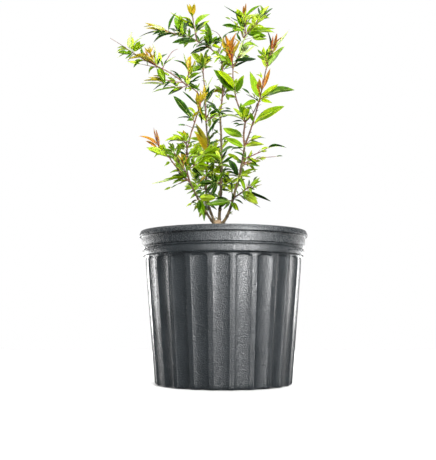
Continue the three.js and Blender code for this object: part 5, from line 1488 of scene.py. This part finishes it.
makePiece("soil_body", soilBody(), makeMaterial("soilMix", soilLook), ["soil"], creaseAngle=60)
for number, look in enumerate(chipLooks):
    chips = pebbles(soil["chips"] // len(chipLooks), soil["chip"], soil["chipFlatness"], 51 + number)
    makePiece("soil_chips_" + "abc"[number], chips, makeMaterial("barkChip" + "ABC"[number], look),
              creaseAngle=25)
makePiece("soil_grains", pebbles(soil["grains"], soil["grain"], soil["grainFlatness"], 61),
          makeMaterial("whiteGrain", perliteLook), creaseAngle=25)
print("soil:", soil["chips"], "chips and", soil["grains"], "white grains")


studio = {
    "floorSize": 2.2,         # in metres, as are the places below
    "camera": (-0.009, -1.333, 0.1208), "tilt": 95.69, "lens": 62.81, "sensor": 36.0,
    "clip": (0.01, 50),
    "background": 1.0,        # brightness of the backdrop to the camera, and below to everything else
    "front": 0.05, "back": 0.6, "overhead": 0.2,
    "backFrom": (0.45, 0.7), "overheadFrom": (0.4, 0.8),    # how far a ray points there, from 0 to 1
}
# azimuth from the front to the right, distance, lowest and highest edge, width and brightness of each
# upright soft panel that faces the pot, and whether it is for the gloss alone
panels = {
    "key": (14, 1.4, 0.75, 1.8, 0.8, 23.0, False),
    "keyShine": (30, 0.95, 0.01, 1.2, 0.5, 21.0, True),
    "frontShine": (-8, 1.6, 0.01, 1.4, 1.5, 3.0, True),
    "rimLeft": (-140, 1.3, 0.01, 0.31, 1.2, 8.0, True),
    "rimRight": (140, 1.3, 0.01, 0.31, 1.2, 5.5, True),
}
overhead = {"place": (-0.2, 1.3, 2.0), "size": 3.0, "power": 130.0}
paperColour = (230, 230, 229)
floorLook = dict(first=paperColour, second=paperColour, fleck=paperColour, blotch=400.0, fleckSize=30.0,
                 grain=2.0, rough=(0.8, 0.95), bump=0.05, depth=0.1, specular=0.0)


def makeFloor():
    half = studio["floorSize"] / 2
    mesh = bpy.data.meshes.new("floor")
    mesh.from_pydata([(-half, -half, 0), (half, -half, 0), (half, half, 0), (-half, half, 0)], [],
                     [(0, 1, 2, 3)])
    floor = addObject("floor", mesh)
    mesh.materials.append(makeMaterial("floorPaper", floorLook))
    floor.visible_glossy = False


def makePanel(name, azimuth, distance, low, high, width, brightness, onlyGloss):
    # An area light's power is its brightness times pi times its area.
    light = bpy.data.lights.new(name, "AREA")
    light.shape, light.size, light.size_y = "RECTANGLE", width, high - low
    light.energy = brightness * math.pi * width * (high - low)
    panel = addObject(name, light)
    turn = math.radians(azimuth)
    panel.location = (distance * math.sin(turn), -distance * math.cos(turn), (low + high) / 2)
    panel.rotation_euler = (math.radians(90), 0, turn)
    panel.visible_camera = False
    panel.visible_diffuse = not onlyGloss
    panel.visible_glossy = onlyGloss


def makeOverhead():
    light = bpy.data.lights.new("overhead", "AREA")
    light.size, light.energy = overhead["size"], overhead["power"]
    addObject("overhead", light).location = overhead["place"]


def makeWorld():
    # The camera sees a white backdrop. Everything else sees it behind the plant, a paler one overhead
    # and a dim room in front.
    world = bpy.data.worlds.new("studio")
    world.use_nodes = True
    tree = world.node_tree
    tree.nodes.clear()
    direction = addNode(tree, "SeparateXYZ", {0: addNode(tree, "TexCoord").outputs["Generated"]}).outputs

    def ramp(value, span, low, high, **settings):
        return addNode(tree, "MapRange", {"Value": value, "From Min": span[0], "From Max": span[1],
                                          "To Min": low, "To Max": high}, **settings)

    behind = ramp(direction["Y"], studio["backFrom"], studio["front"], studio["back"],
                  interpolation_type="SMOOTHSTEP")
    above = ramp(direction["Z"], studio["overheadFrom"], 0.0, studio["overhead"])
    room = addNode(tree, "Math", {0: behind, 1: above}, operation="MAXIMUM")
    seen = addNode(tree, "LightPath").outputs["Is Camera Ray"]
    strength = ramp(seen, (0.0, 1.0), room, studio["background"])
    backdrop = addNode(tree, "Background", {"Color": (1, 1, 1, 1), "Strength": strength})
    addNode(tree, "OutputWorld", {"Surface": backdrop})
    bpy.context.scene.world = world


def makeCamera():
    view = bpy.data.cameras.new("camera")
    view.lens, view.sensor_width = studio["lens"], studio["sensor"]
    view.clip_start, view.clip_end = studio["clip"]
    camera = addObject("camera", view)
    camera.location = studio["camera"]
    camera.rotation_euler = (math.radians(studio["tilt"]), 0, 0)
    bpy.context.scene.camera = camera


makeFloor()
for name, values in panels.items():
    makePanel(name, *values)
makeOverhead()
makeWorld()
makeCamera()
bpy.context.scene.view_settings.view_transform = "Standard"
print("scene ready")
